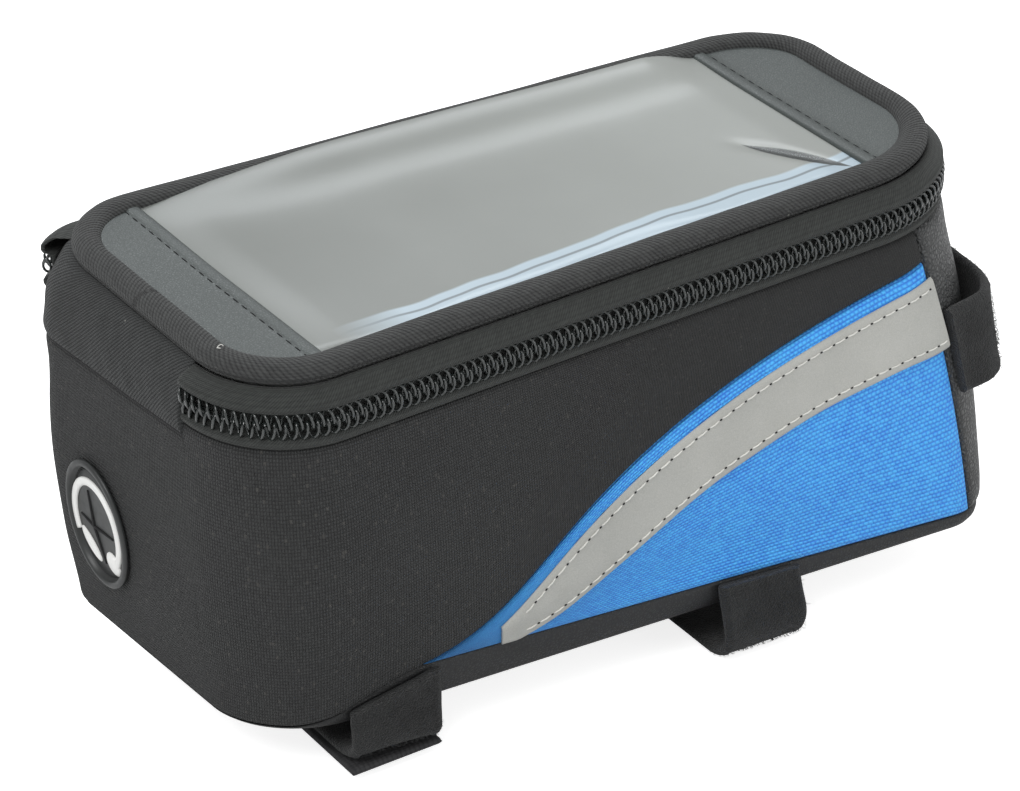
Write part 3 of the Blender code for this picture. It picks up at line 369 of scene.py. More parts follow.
class Wires:
    # short way to add nodes and link them in one tree
    def __init__(self, tree):
        self.tree = tree

    def put(self, socket, value):
        if hasattr(value, "is_output"):
            self.tree.links.new(value, socket)
        else:
            socket.default_value = value

    def math(self, operation, a, b=0.0, clamp=False):
        node = self.tree.nodes.new("ShaderNodeMath")
        node.operation = operation
        node.use_clamp = clamp
        for socket, value in zip(node.inputs, (a, b)):
            self.put(socket, value)
        return node.outputs[0]

    def plus(self, a, b, clamp=False):
        return self.math("ADD", a, b, clamp)

    def minus(self, a, b):
        return self.math("SUBTRACT", a, b)

    def times(self, a, b, clamp=False):
        return self.math("MULTIPLY", a, b, clamp)

    def vector(self, operation, a, b=(0, 0, 0), scale=None):
        node = self.tree.nodes.new("ShaderNodeVectorMath")
        node.operation = operation
        self.put(node.inputs[0], a)
        self.put(node.inputs[1], b)
        if scale is not None:
            self.put(node.inputs["Scale"], scale)
        return node.outputs[0]

    def split(self, vector):
        node = self.tree.nodes.new("ShaderNodeSeparateXYZ")
        self.put(node.inputs[0], vector)
        return node.outputs

    def join(self, x, y):
        node = self.tree.nodes.new("ShaderNodeCombineXYZ")
        for socket, value in zip(node.inputs, (x, y)):
            self.put(socket, value)
        return node.outputs[0]

    def noise(self, vector, scale, detail=2.0, roughness=0.5):
        node = self.tree.nodes.new("ShaderNodeTexNoise")
        for label, value in (
            ("Vector", vector), ("Scale", scale), ("Detail", detail), ("Roughness", roughness)
        ):
            self.put(node.inputs[label], value)
        return node.outputs["Fac"]

    def voronoi(self, vector, scale, feature="F1", output="Distance"):
        node = self.tree.nodes.new("ShaderNodeTexVoronoi")
        node.feature = feature
        self.put(node.inputs["Vector"], vector)
        self.put(node.inputs["Scale"], scale)
        return node.outputs[output]

    def white(self, vector):
        node = self.tree.nodes.new("ShaderNodeTexWhiteNoise")
        self.put(node.inputs["Vector"], vector)
        return node.outputs["Value"]

    def range(self, value, low, high, toLow=0.0, toHigh=1.0):
        node = self.tree.nodes.new("ShaderNodeMapRange")
        for label, number in (
            ("Value", value), ("From Min", low), ("From Max", high), ("To Min", toLow), ("To Max", toHigh)
        ):
            self.put(node.inputs[label], number)
        return node.outputs[0]

    def mix(self, share, a, b):
        node = self.tree.nodes.new("ShaderNodeMix")
        node.data_type = "RGBA"
        self.put(node.inputs[0], share)
        for socket, value in zip(node.inputs[6:8], (a, b)):
            self.put(socket, (*value, 1.0) if isinstance(value, tuple) and len(value) == 3 else value)
        return node.outputs[2]

    def group(self, group, **values):
        node = self.tree.nodes.new("ShaderNodeGroup")
        node.node_tree = group
        for label, value in values.items():
            self.put(node.inputs[label], value)
        return node.outputs

    def bump(self, height, strength, distance):
        node = self.tree.nodes.new("ShaderNodeBump")
        node.inputs["Strength"].default_value = strength
        node.inputs["Distance"].default_value = distance
        self.put(node.inputs["Height"], height)
        return node.outputs[0]


def makeWeaveGroup():
    # plain weave: square cells of one thread each, crossing over and under in turn. Height is the thread's
    # round top. With Brick at 0.5 only the crosswise threads show, as dashes in staggered rows
    group, given, result = newGroup(
        "plainWeave",
        [
            ("Vector", "NodeSocketVector", None), ("Pitch", "NodeSocketFloat", 0.0005),
            ("Wander", "NodeSocketFloat", 0.1), ("Brick", "NodeSocketFloat", 0.0),
        ],
        [("Height", "NodeSocketFloat"), ("Tone", "NodeSocketFloat"), ("Speck", "NodeSocketFloat")],
    )
    w = Wires(group)
    place = w.vector("SCALE", given.outputs["Vector"], scale=w.math("DIVIDE", 1.0, given.outputs["Pitch"]))
    shift = w.times(w.minus(w.noise(place, 0.35), 0.5), w.times(given.outputs["Wander"], 8.0))
    u, v, _ = w.split(place)
    u, v = w.plus(u, shift), w.plus(v, shift)
    cellV = w.math("FLOOR", v)
    brick = given.outputs["Brick"]
    u = w.plus(u, w.times(w.math("PINGPONG", cellV, 1.0), brick))
    cellU = w.math("FLOOR", u)
    fu = w.minus(w.minus(u, cellU), 0.5)
    fv = w.minus(w.minus(v, cellV), 0.5)
    over = w.times(w.math("PINGPONG", w.plus(cellU, cellV), 1.0), w.minus(1.0, w.times(brick, 2.0)))

    def thread(acrossIt, alongIt):
        round_ = w.math("COSINE", w.times(acrossIt, math.pi * 0.95))
        dip = w.math("COSINE", w.times(alongIt, math.pi * 0.8))
        return w.times(round_, dip)

    warp, weft = thread(fu, fv), thread(fv, fu)
    height = w.plus(w.times(warp, over), w.times(weft, w.minus(1.0, over)))
    cell = w.join(cellU, cellV)
    w.put(result.inputs["Height"], height)
    w.put(result.inputs["Tone"], w.white(cell))
    # Speck marks rare threads, which are painted as glints
    w.put(
        result.inputs["Speck"],
        w.math("GREATER_THAN", w.white(w.vector("ADD", cell, (17.3, 5.1, 0.0))), 0.985),
    )
    return group


def makeGrainGroup():
    # pebbled grain: rounded cells with valleys between, broken by finer noise
    group, given, result = newGroup(
        "pebbleGrain",
        [("Vector", "NodeSocketVector", None), ("Scale", "NodeSocketFloat", 900.0)],
        [("Height", "NodeSocketFloat"), ("Valley", "NodeSocketFloat")],
    )
    w = Wires(group)
    bent = w.vector(
        "ADD",
        given.outputs["Vector"],
        w.vector("SCALE", w.join(w.noise(given.outputs["Vector"], 300.0), 0.0), scale=0.002),
    )
    edge = w.voronoi(bent, given.outputs["Scale"], "DISTANCE_TO_EDGE")
    pebble = w.range(edge, 0.0, 0.32)
    fine = w.noise(given.outputs["Vector"], w.times(given.outputs["Scale"], 2.2))
    w.put(result.inputs["Height"], w.plus(pebble, w.times(fine, 0.35)))
    w.put(result.inputs["Valley"], w.minus(1.0, pebble))
    return group


def makeLintGroup():
    # a few pale specks of lint, from the rarest cells of a fine cell pattern
    group, given, result = newGroup(
        "lint",
        [("Vector", "NodeSocketVector", None), ("Amount", "NodeSocketFloat", 0.004)],
        [("Mask", "NodeSocketFloat")],
    )
    w = Wires(group)
    near = w.voronoi(given.outputs["Vector"], 900.0)
    pick = w.split(w.voronoi(given.outputs["Vector"], 900.0, output="Color"))[0]
    rare = w.math("LESS_THAN", pick, given.outputs["Amount"])
    w.put(result.inputs["Mask"], w.times(rare, w.math("LESS_THAN", near, 0.22)))
    return group


weaveGroup, grainGroup, lintGroup = makeWeaveGroup(), makeGrainGroup(), makeLintGroup()


def objectVector(material):
    return material.node_tree.nodes.new("ShaderNodeTexCoord").outputs["Object"]


def startMaterial(name, roughness, coords="Object"):
    material = bpy.data.materials.new(name)
    material.use_nodes = True
    shader = material.node_tree.nodes["Principled BSDF"]
    shader.inputs["Roughness"].default_value = roughness
    w = Wires(material.node_tree)
    if coords == "UV":
        node = material.node_tree.nodes.new("ShaderNodeUVMap")
        node.uv_map = "cloth"
        vector = node.outputs[0]
    else:
        vector = objectVector(material)
    return material, shader, w, vector


def wovenFinish(
    name, dark, light, pitch, bumpDepth, roughness=0.8, sheen=0.15, speck=None, wander=0.06, lint=0.002,
    brick=0.0, squeeze=1.0,
):
    # woven cloth on the piece's own UV: threads lighter on top and darker between as painted light and shade,
    # each thread its own tone
    material, shader, w, vector = startMaterial(name, roughness, "UV")
    threads = w.vector("MULTIPLY", vector, (1.0, squeeze, 1.0))
    weave = w.group(weaveGroup, Vector=threads, Pitch=pitch, Wander=wander, Brick=brick)
    # colour follows the threads' height: painted shade between threads
    tone = w.plus(w.times(weave["Height"], 0.85), w.times(weave["Tone"], 0.3))
    place = objectVector(material)
    cloud = w.noise(place, 35.0, 3.0)
    tone = w.plus(tone, w.times(w.minus(cloud, 0.5), 0.35))
    colour = w.mix(w.times(tone, 1.0, clamp=True), dark, light)
    # pale specks on rare threads: painted glints
    if speck is not None:
        colour = w.mix(w.times(weave["Speck"], 0.6), colour, speck)
    if lint:
        colour = w.mix(w.group(lintGroup, Vector=place, Amount=lint)["Mask"], colour, (0.55, 0.55, 0.53))
    w.put(shader.inputs["Base Color"], colour)
    shader.inputs["Sheen Weight"].default_value = sheen
    shader.inputs["Sheen Roughness"].default_value = 0.45
    w.put(shader.inputs["Normal"], w.bump(weave["Height"], 1.0, bumpDepth))
    return material


def leatherFinish(name, dark, light, scale, bumpDepth, roughness, broad=0.0):
    # leatherette: pebbles slightly paler than the valleys as painted shade, with broad soft creases where
    # asked
    material, shader, w, vector = startMaterial(name, roughness)
    grain = w.group(grainGroup, Vector=vector, Scale=scale)
    cloud = w.noise(vector, 40.0, 4.0)
    # colour follows the pebbles' height: painted shade in the valleys
    tone = w.plus(w.times(grain["Height"], 0.6), w.times(cloud, 0.4), clamp=True)
    w.put(shader.inputs["Base Color"], w.mix(tone, dark, light))
    rough = w.range(grain["Valley"], 0.0, 1.0, roughness - 0.05, roughness + 0.15)
    w.put(shader.inputs["Roughness"], rough)
    height = grain["Height"]
    if broad:
        crease = w.voronoi(w.vector("MULTIPLY", vector, (1.0, 1.0, 0.55)), 230.0, "SMOOTH_F1")
        height = w.plus(height, w.times(crease, broad))
    w.put(shader.inputs["Normal"], w.bump(height, 0.7, bumpDepth))
    return material


def ribFinish(name, dark, light, ribAlong, ribAcross, bumpDepth, roughness=0.85, slant=0.0, cross=0.35):
    # ribbed or knitted cloth: slanted ribs broken into short stitches, painted darker between them as shade
    material, shader, w, vector = startMaterial(name, roughness, "UV")
    u, v, _ = w.split(vector)
    wave = w.times(w.minus(w.noise(vector, 900.0), 0.5), 0.35)
    along = w.plus(w.math("DIVIDE", w.plus(u, w.times(v, slant)), ribAlong), wave)
    rib = w.math("ABSOLUTE", w.math("SINE", w.times(along, math.pi)))
    step = w.math("ABSOLUTE", w.math("SINE", w.times(w.math("DIVIDE", v, ribAcross), math.pi)))
    height = w.plus(w.times(rib, 1.0 - cross), w.times(step, cross))
    cell = w.join(w.math("FLOOR", along), w.math("FLOOR", w.math("DIVIDE", v, ribAcross)))
    # colour follows the ribs' height: painted shade between ribs
    tone = w.plus(w.times(height, 0.8), w.times(w.white(cell), 0.3))
    place = objectVector(material)
    colour = w.mix(w.times(tone, 1.0, clamp=True), dark, light)
    colour = w.mix(w.group(lintGroup, Vector=place, Amount=0.002)["Mask"], colour, (0.2, 0.2, 0.18))
    w.put(shader.inputs["Base Color"], colour)
    shader.inputs["Sheen Weight"].default_value = 0.06
    w.put(shader.inputs["Normal"], w.bump(height, 0.8, bumpDepth))
    return material


def pileFinish(name, dark, light, scale=2600.0, bumpDepth=0.0006):
    # hook-and-loop pile: curly fibres, paler where the pile is rubbed
    material, shader, w, vector = startMaterial(name, 0.95)
    curls = w.voronoi(vector, scale, "SMOOTH_F1")
    fine = w.noise(vector, scale * 0.8, 4.0, 0.7)
    rubbed = w.noise(vector, 120.0, 3.0)
    height = w.plus(w.times(curls, -0.8), fine)
    tone = w.plus(w.times(fine, 0.6), w.times(rubbed, 0.4), clamp=True)
    w.put(shader.inputs["Base Color"], w.mix(w.range(tone, 0.3, 0.75), dark, light))
    shader.inputs["Sheen Weight"].default_value = 0.12
    w.put(shader.inputs["Normal"], w.bump(height, 0.9, bumpDepth))
    return material


def plainFinish(name, colour, roughness, metallic=0.0, grain=0.0, grainScale=1500.0, coat=0.0):
    # moulded or painted surface with faint unevenness in colour and gloss
    material, shader, w, vector = startMaterial(name, roughness)
    cloud = w.noise(vector, 60.0, 3.0)
    darker = tuple(0.8 * c for c in colour)
    w.put(shader.inputs["Base Color"], w.mix(cloud, darker, tuple(min(1.0, 1.15 * c) for c in colour)))
    w.put(
        shader.inputs["Roughness"],
        w.range(w.noise(vector, 400.0), 0.2, 0.8, roughness - 0.06, roughness + 0.08),
    )
    shader.inputs["Metallic"].default_value = metallic
    shader.inputs["Coat Weight"].default_value = coat
    if grain:
        w.put(shader.inputs["Normal"], w.bump(w.noise(vector, grainScale, 3.0), 0.6, grain))
    return material


def reflectiveFinish():
    # grey retroreflective tape: glass-bead speckle over pale grey
    material, shader, w, vector = startMaterial("reflectiveTape", 0.5)
    beads = w.noise(vector, 3500.0, 2.0, 0.7)
    cloud = w.noise(vector, 50.0, 3.0)
    tone = w.plus(w.times(beads, 0.6), w.times(cloud, 0.4))
    w.put(shader.inputs["Base Color"], w.mix(tone, (0.22, 0.225, 0.21), (0.58, 0.58, 0.545)))
    w.put(shader.inputs["Normal"], w.bump(beads, 0.35, 0.00008))
    return material


crease = {"x": 0.0635, "y": -0.0225, "turn": math.radians(-57.4)}
crease.update(long=0.0142, wide=0.0021, deep=0.0006)
# the film's painted reflection: a pale band along the near border, its reach from the border's edge, and the
# painted dark line in it
paintedReflectionBand = {"gone": 0.0098, "full": 0.0090, "line": 0.0064, "lineGone": 0.0006, "lineFull": 0.00025}


def filmFinish():
    # clear soft film: pale haze over what lies under it, painted paler towards the front as reflection, and a
    # painted pale blue reflection where it rolls down to the near border, in two bands with a thin painted
    # dark line between; painted shade along the crease
    material, shader, w, vector = startMaterial("clearFilm", 0.3)
    x = w.split(vector)[0]
    # partly the film's own pale haze with random tone, partly painted reflection that grows paler towards the
    # front
    hazeAndReflection = w.plus(w.range(x, -0.06, 0.075), w.times(w.noise(vector, 30.0, 3.0), 0.25), clamp=True)
    colour = w.mix(hazeAndReflection, (0.24, 0.255, 0.24), (0.42, 0.44, 0.42))
    attribute = material.node_tree.nodes.new("ShaderNodeAttribute")
    attribute.attribute_name = "toNear"
    # painted reflection along the near border: a pale blue band with a painted dark line in it
    wander = w.times(w.minus(w.noise(w.vector("MULTIPLY", vector, (1.0, 0.0, 0.0)), 26.0, 2.0), 0.5), 0.008)
    narrow = w.range(x, -0.03, 0.02, 0.0, 0.0020)
    reach = w.minus(w.plus(attribute.outputs["Fac"], wander), narrow)
    band = w.times(w.range(reach, paintedReflectionBand["gone"], paintedReflectionBand["full"]), w.range(x, -0.068, -0.05))
    fromLine = w.math("ABSOLUTE", w.minus(reach, paintedReflectionBand["line"]))
    line = w.range(fromLine, paintedReflectionBand["lineGone"], paintedReflectionBand["lineFull"])
    colour = w.mix(band, colour, (0.43, 0.53, 0.60))
    colour = w.mix(w.times(w.times(line, band), 0.8), colour, (0.12, 0.14, 0.15))
    # painted shade: a dark lens along the crease near the front
    offX, offY, _ = w.split(w.vector("SUBTRACT", vector, (crease["x"], crease["y"], 0.0)))
    turnX, turnY = math.cos(crease["turn"]), math.sin(crease["turn"])
    along = w.plus(w.times(offX, turnX / crease["long"]), w.times(offY, turnY / crease["long"]))
    across = w.plus(w.times(offX, -turnY / crease["wide"]), w.times(offY, turnX / crease["wide"]))
    lens = w.plus(w.times(along, along), w.math("ABSOLUTE", across))
    colour = w.mix(w.range(lens, 1.0, 0.8), colour, (0.035, 0.042, 0.042))
    w.put(shader.inputs["Base Color"], colour)
    # the painted reflection band is also less see-through
    w.put(shader.inputs["Alpha"], w.range(band, 0.0, 1.0, 0.62, 0.9))
    shader.inputs["Coat Weight"].default_value = 0.15
    shader.inputs["Coat Roughness"].default_value = 0.16
    scuff = w.noise(w.vector("MULTIPLY", vector, (1.0, 0.5, 1.0)), 90.0, 5.0, 0.6)
    w.put(shader.inputs["Normal"], w.bump(scuff, 0.2, 0.0003))
    return material


finish = {
    "shell": wovenFinish(
        "blackWeave", (0.002, 0.002, 0.0025), (0.042, 0.044, 0.044), 0.00066, 0.0006, sheen=0.03,
        speck=(0.075, 0.072, 0.066), lint=0.0,
    ),
    "blue": wovenFinish(
        "blueWeave", (0.010, 0.13, 0.70), (0.075, 0.49, 1.0), 0.00125, 0.0003, roughness=0.6, sheen=0.05,
        lint=0.0, brick=0.5, squeeze=1.65,
    ),
    "reflective": reflectiveFinish(),
    # lid leatherette: paler and grey-green, partly its own colour and partly painted reflection of the light
    # from above
    "lidLeather": leatherFinish(
        "lidLeatherette", (0.040, 0.047, 0.046), (0.066, 0.078, 0.075), 1700.0, 0.00004, 0.42
    ),
    "frontLeather": leatherFinish(
        "frontLeatherette", (0.008, 0.008, 0.009), (0.06, 0.063, 0.063), 850.0, 0.0004, 0.36, broad=1.5
    ),
    "baseLeather": leatherFinish(
        "baseLeatherette", (0.006, 0.006, 0.007), (0.02, 0.021, 0.021), 1300.0, 0.0001, 0.45
    ),
    "piping": ribFinish(
        "pipingKnit", (0.004, 0.004, 0.005), (0.05, 0.052, 0.051), 0.0012, 0.0007, 0.00045, slant=0.8,
        cross=0.3,
    ),
    "tape": ribFinish(
        "zipTape", (0.004, 0.0045, 0.0045), (0.036, 0.04, 0.037), 0.0007, 0.0012, 0.0002, slant=0.9
    ),
    "hinge": ribFinish(
        "hingeTwill", (0.0015, 0.0015, 0.002), (0.034, 0.037, 0.037), 0.0011, 0.0006, 0.0006, slant=-0.9,
        cross=0.2,
    ),
    "coil": plainFinish("nylonCoil", (0.026, 0.031, 0.030), 0.18, coat=0.8),
    "film": filmFinish(),
    "backing": plainFinish("greyBacking", (0.36, 0.37, 0.36), 0.7, grain=0.00005),
    "lining": wovenFinish("liningWeave", (0.05, 0.05, 0.052), (0.13, 0.13, 0.135), 0.0004, 0.00006, lint=0.0),
    "pileFibre": plainFinish("pileFibre", (0.03, 0.031, 0.032), 0.7),
    "pile": pileFinish("loopPile", (0.002, 0.002, 0.0025), (0.022, 0.024, 0.024)),
    "webbing": ribFinish("webbingWeave", (0.005, 0.005, 0.006), (0.03, 0.03, 0.032), 0.0012, 0.0008, 0.00015),
    "rubber": plainFinish("portRubber", (0.028, 0.030, 0.030), 0.42, grain=0.00003),
    "whiteMark": plainFinish("portWhite", (0.86, 0.86, 0.84), 0.35),
    "blackPaint": plainFinish("blackPaint", (0.02, 0.02, 0.022), 0.3, metallic=0.2, coat=0.3),
    "paleThread": plainFinish("paleThread", (0.70, 0.70, 0.66), 0.7),
    "darkThread": plainFinish("darkThread", (0.006, 0.006, 0.007), 0.8),
}
print("finishes made")


wall = {
    "thickness": 0.0032, "seamRadius": 0.0024, "seamDepth": 0.0014, "seamGap": 0.0001, "seamStep": 0.002,
    "wave": 0.00045, "waveLength": 0.045, "waveFade": 0.008, "puffFade": 0.02,
}
puff = {"shell": 0.0012, "blue": 0.001, "front": 0.0006}
graphics = {
    "blueStart": -0.053, "blueEnd": 0.0733, "stripStart": -0.0335, "stripDrop": 0.0034, "stripEnd": 0.0515,
    "stripLift": 0.0007, "stripEdgeStart": -0.030,
}
# how each curve on the side leaves its rear end and comes to its front end
handles = {"blue": ((0.0375, 0.0071), (-0.111, -0.0131)), "strip": ((0.030, 0.007), (-0.082, -0.0035))}


def frontSeamX(z):
    return float(bodyPoint(np.array(bag["frontSeam"]), 1, z)[0])


def edgeCurve(startX, endZ, handle, endHandle):
    start, end = np.array([startX, float(hem(startX)) + 0.0003]), np.array([frontSeamX(endZ), endZ])
    return bezier([start, start + handle, end + endHandle, end])


blueEdge = edgeCurve(graphics["blueStart"], graphics["blueEnd"], *handles["blue"])
stripEdge = edgeCurve(graphics["stripEdgeStart"], graphics["stripEnd"], *handles["strip"])


def heightOn(curve, station, side):
    # height where each side station meets a curve drawn on the side, by repeated substitution
    z = np.full(np.shape(station), 0.05)
    for _ in range(25):
        z = np.interp(bodyPoint(station, side, z)[..., 0], curve[:, 0], curve[:, 1])
    return z


def hemHeight(station, side):
    z = np.full(np.shape(station), hemLine["rear"])
    for _ in range(10):
        z = hem(bodyPoint(station, side, z)[..., 0])
    return z


def seamDip(distance):
    # quarter-round roll into a seam: 0 away from it, seamDepth at it
    near = np.clip(1 - distance / wall["seamRadius"], 0, 1)
    return wall["seamDepth"] * (1 - np.sqrt(1 - near**2))


def wallPatch(station, side, low, top, rows, bulge, seed, wave=None):
    # outer and inner grids of a wall patch: body surface, rolled into the seams at its border, softly waved
    share = denseEnds(rows)
    z = low[:, None] + (top - low)[:, None] * share
    at = station[:, None] + 0 * z
    turned = side[:, None] + 0 * z
    flat = bodyPoint(at, turned, z)
    run = lengthsAlong(flat, 0)
    toEnd = np.minimum(run, run[-1] - run)[:, None]
    toEdge = np.minimum(np.minimum(z - low[:, None], top[:, None] - z), toEnd)
    fade = smooth(toEdge / wall["waveFade"])
    swell = bulge * np.sin(math.pi * share)[None, :] * smooth(toEdge / wall["puffFade"])
    waves = (wave or wall["wave"]) * ripple(flat[..., 0] - flat[..., 1], z, seed, wall["waveLength"]) * fade
    outer = bodyPoint(at, turned, z, seamDip(toEdge) - swell - waves)
    return outer, bodyPoint(at, turned, z, wall["thickness"])


def sideSpan(z, side):
    return bodyPoint(np.array([2.0, 3.0]), side, z)[:, 0], (2.0, 3.0)


def flankStations(start, count, turns=16):
    # from a place on the long side to the seam in the front corner, closer together at both ends
    end = bag["frontSeam"] - wall["seamStep"]
    straight = start + (3 - start) * np.linspace(0, 1, count) ** 1.15
    return np.concatenate([straight[:-1], 3 + (end - 3) * np.sin(np.linspace(0, math.pi / 2, turns))])


def makeShell():
    station, side, low, top = [], [], [], []
    for hand in (1.0, -1.0):
        tip = float(np.interp(graphics["blueStart"], *sideSpan(hem(graphics["blueStart"]), hand)))
        end = zipEnd(hand)
        rear = np.concatenate(
            [np.linspace(0, 1, 26)[:-1], np.linspace(1, 2, 44)[:-1], end + np.linspace(-0.02, 0.02, 7)]
        )
        rear = np.concatenate([np.unique(rear), np.linspace(2, tip, 20)[:-1]])
        flank = flankStations(tip, 80)
        both = np.concatenate([rear, flank])
        edge = hemHeight(both, hand)
        edge[len(rear):] = heightOn(blueEdge, flank, hand) + 2 * wall["seamGap"]
        seam = hingeHeight(both, hand)
        brim = seam + (bag["wallTop"] - 0.0002 - seam) * smooth((both - end + 0.01) / 0.02)
        for whole, half in ((station, both), (side, np.full(len(both), hand)), (low, edge), (top, brim)):
            whole.append(half[::-1] if hand > 0 else half[1:])
    station, side, low, top = (np.concatenate(whole) for whole in (station, side, low, top))
    outer, inner = wallPatch(station, side, low, top, 64, puff["shell"], seed=2.0)
    shell = makeSlab("shellCloth", outer, inner, finish["shell"])
    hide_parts("outer_shell")
    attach(shell, "bag")


def panelSurface(station, side, z, seed, lift):
    # the blue panel's outer face, puffed as wallPatch does, with lift above it
    low, top = hemHeight(station, side), heightOn(blueEdge, station, side)
    share = np.clip((z - low) / np.maximum(top - low, 1e-6), 0, 1)
    toEdge = np.minimum(z - low, top - z)
    swell = puff["blue"] * np.sin(math.pi * share) * smooth(toEdge / wall["puffFade"])
    flat = bodyPoint(station, side, z)
    fade = smooth(toEdge / wall["waveFade"])
    waves = wall["wave"] * ripple(flat[..., 0] - flat[..., 1], z, seed, wall["waveLength"]) * fade
    return bodyPoint(station, side, z, -swell - waves - lift)


stitch = {
    "long": 0.0031, "gap": 0.0006, "lift": 0.00026, "holeLift": 0.0001, "inset": 0.0021, "thread": 0.00025
}


def stripStitches(station, hand, low, top, edge, seed):
    # a row along one edge of the tape: its threads, and the needle holes between them as dark pieces of
    # painted shade
    z = top - stitch["inset"] if edge == "top" else low + stitch["inset"]
    inside = (top - low) > 2 * stitch["inset"] + 0.001
    station, z = station[inside][6:-3], z[inside][6:-3]
    side = np.full(len(station), hand)
    line = panelSurface(station, side, z, seed, graphics["stripLift"])
    out = panelSurface(station, side, z, seed, graphics["stripLift"] + 0.001) - line
    run = runAlong(line)
    later = np.linspace(stitch["long"], run[-1], 3 * len(run))
    holes = [pointsAt(later, run, part) for part in (line, out)]
    threads = stitchRow(line, out, stitch["long"], stitch["gap"], stitch["lift"])
    return threads, stitchRow(*holes, stitch["gap"], stitch["long"], stitch["holeLift"])


def makeSidePanels():
    for label, hand, seed in (("near", 1.0, 3.0), ("far", -1.0, 4.0)):
        tip = float(np.interp(graphics["blueStart"], *sideSpan(hem(graphics["blueStart"]), hand)))
        flank = flankStations(tip, 86)
        hands = np.full(len(flank), hand)
        low = hemHeight(flank, hand)
        top = np.maximum(heightOn(blueEdge, flank, hand) - 2 * wall["seamGap"], low + 0.0002)
        outer, inner = wallPatch(flank, hands, low, top, 52, puff["blue"], seed=seed)
        panel = makeSlab("blueCloth_" + label, outer, inner, finish["blue"])
        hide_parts("side_panel_" + label)
        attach(panel, "bag")
        strip = flankStations(float(np.interp(graphics["stripStart"], *sideSpan(0.0125, hand))), 84)
        top = heightOn(blueEdge, strip, hand) - graphics["stripDrop"]
        low = np.maximum(heightOn(stripEdge, strip, hand), hemHeight(strip, hand) + 0.0004)
        low = np.minimum(low, top - 0.0004)
        z = low[:, None] + (top - low)[:, None] * denseEnds(14, 0.6)
        at, turned = strip[:, None] + 0 * z, hand + 0 * z
        edge = np.minimum(z - low[:, None], top[:, None] - z)
        lift = graphics["stripLift"] * np.sqrt(np.clip(edge / 0.0005, 0.15, 1))
        outer, inner = (panelSurface(at, turned, z, seed, rise) for rise in (lift, 0.00005))
        tape = makeSlab("reflectiveTape_" + label, outer, inner, finish["reflective"])
        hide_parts("reflective_strip_" + label)
        rows, holes = zip(*(stripStitches(strip, hand, low, top, edge, seed) for edge in ("top", "low")))
        threads = manyThreads(
            "tapeStitches_" + label, *joinRows(rows), stitch["thread"], finish["paleThread"]
        )
        # painted shade: dark pieces at the needle holes between the stitches
        needleHoleShade = manyThreads("tapeNeedleHoles_" + label, *joinRows(holes), 0.00026, finish["darkThread"])
        for piece in (tape, threads, needleHoleShade):
            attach(piece, "bag")


makeShell()
makeSidePanels()
print("walls made")


def roundFront(near):
    # stations and sides over the front end, from near stations that run to its middle
    side = np.concatenate([np.ones(len(near)), -np.ones(len(near) - 1)])
    return np.concatenate([near, near[-2::-1]]), side


def makeFront():
    start = bag["frontSeam"] + wall["seamStep"]
    near = np.concatenate([start + (4 - start) * denseEnds(36, 0.3)[:-1], np.linspace(4, 5, 16)])
    station, side = roundFront(near)
    low = hemHeight(station, side) + 0.0001
    top = np.full(len(station), bag["wallTop"] - 0.0003)
    outer, inner = wallPatch(station, side, low, top, 60, puff["front"], seed=6.0, wave=0.0006)
    front = makeSlab("frontLeather", outer, inner, finish["frontLeather"])
    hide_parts("front_panel")
    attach(front, "bag")


def makeBase():
    station, side = closeStations((10, 30, 80, 24, 10))
    edge = hemHeight(station, side)
    # ring heights and insets, from the underside's middle out, up the rounded edge and down the inner face
    profile = [
        (0.0, 0.030), (0.0, 0.012), (0.0, 0.0075), (0.0002, 0.0056), (0.0008, 0.0038), (0.0018, 0.0022),
        (0.003, 0.0012),
    ]
    rings = [bodyPoint(station, side, z, inset) for z, inset in profile]
    for share, inset in ((0.4, 0.0009), (0.75, 0.0010), (0.95, 0.0013), (1.0, 0.0018)):
        rings.append(bodyPoint(station, side, 0.003 + (edge - 0.0033) * share, inset))
    rings.append(bodyPoint(station, side, edge - 0.0003, 0.0030))
    for z, inset in ((0.0032, 0.0032), (0.0026, 0.012), (0.0022, 0.030)):
        rings.append(bodyPoint(station, side, z, inset))
    makeBowl(
        "baseLeather", np.stack(rings, axis=1), finish["baseLeather"], "bottom_panel"
    )


def makeBowl(name, grid, material, node):
    # a ringed grid, closed at its first and last ring by a flat face across it
    obj = makeMesh(name, grid, gridFaces(*grid.shape[:2], True), material, clothUv(grid))
    edit = bmesh.new()
    edit.from_mesh(obj.data)
    bmesh.ops.holes_fill(edit, edges=[e for e in edit.edges if e.is_boundary], sides=0)
    bmesh.ops.recalc_face_normals(edit, faces=edit.faces)
    bmesh.ops.triangulate(edit, faces=[f for f in edit.faces if len(f.verts) > 4])
    edit.to_mesh(obj.data)
    edit.free()
    obj.data.shade_smooth()
    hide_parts(node)
    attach(obj, "bag")
    return obj


liner = {"low": 0.0036, "top": 0.0724, "outside": 0.0035, "inside": 0.0043}


def makeLining():
    station, side = closeStations((10, 20, 60, 18, 10))
    levels = np.linspace(liner["low"], liner["top"], 22)
    rings = [bodyPoint(station, side, z, inset) for z, inset in ((0.0025, 0.03), (0.0026, 0.008))]
    rings += [bodyPoint(station, side, z, liner["outside"]) for z in levels]
    rings += [bodyPoint(station, side, z, liner["inside"] + 0.0003 * np.sin(z * 400)) for z in levels[::-1]]
    rings += [bodyPoint(station, side, 0.0036, 0.008), bodyPoint(station, side, 0.0035, 0.03)]
    lining = makeBowl("liningCloth", np.stack(rings, axis=1), finish["lining"], "inner_lining")


makeFront()
makeBase()
makeLining()
print("front, base and lining made")


zipper = {
    "pitch": 0.00225, "wire": 0.00034, "reach": 0.0018, "centre": 0.00112, "depth": 0.00095, "middle": 0.0876
}


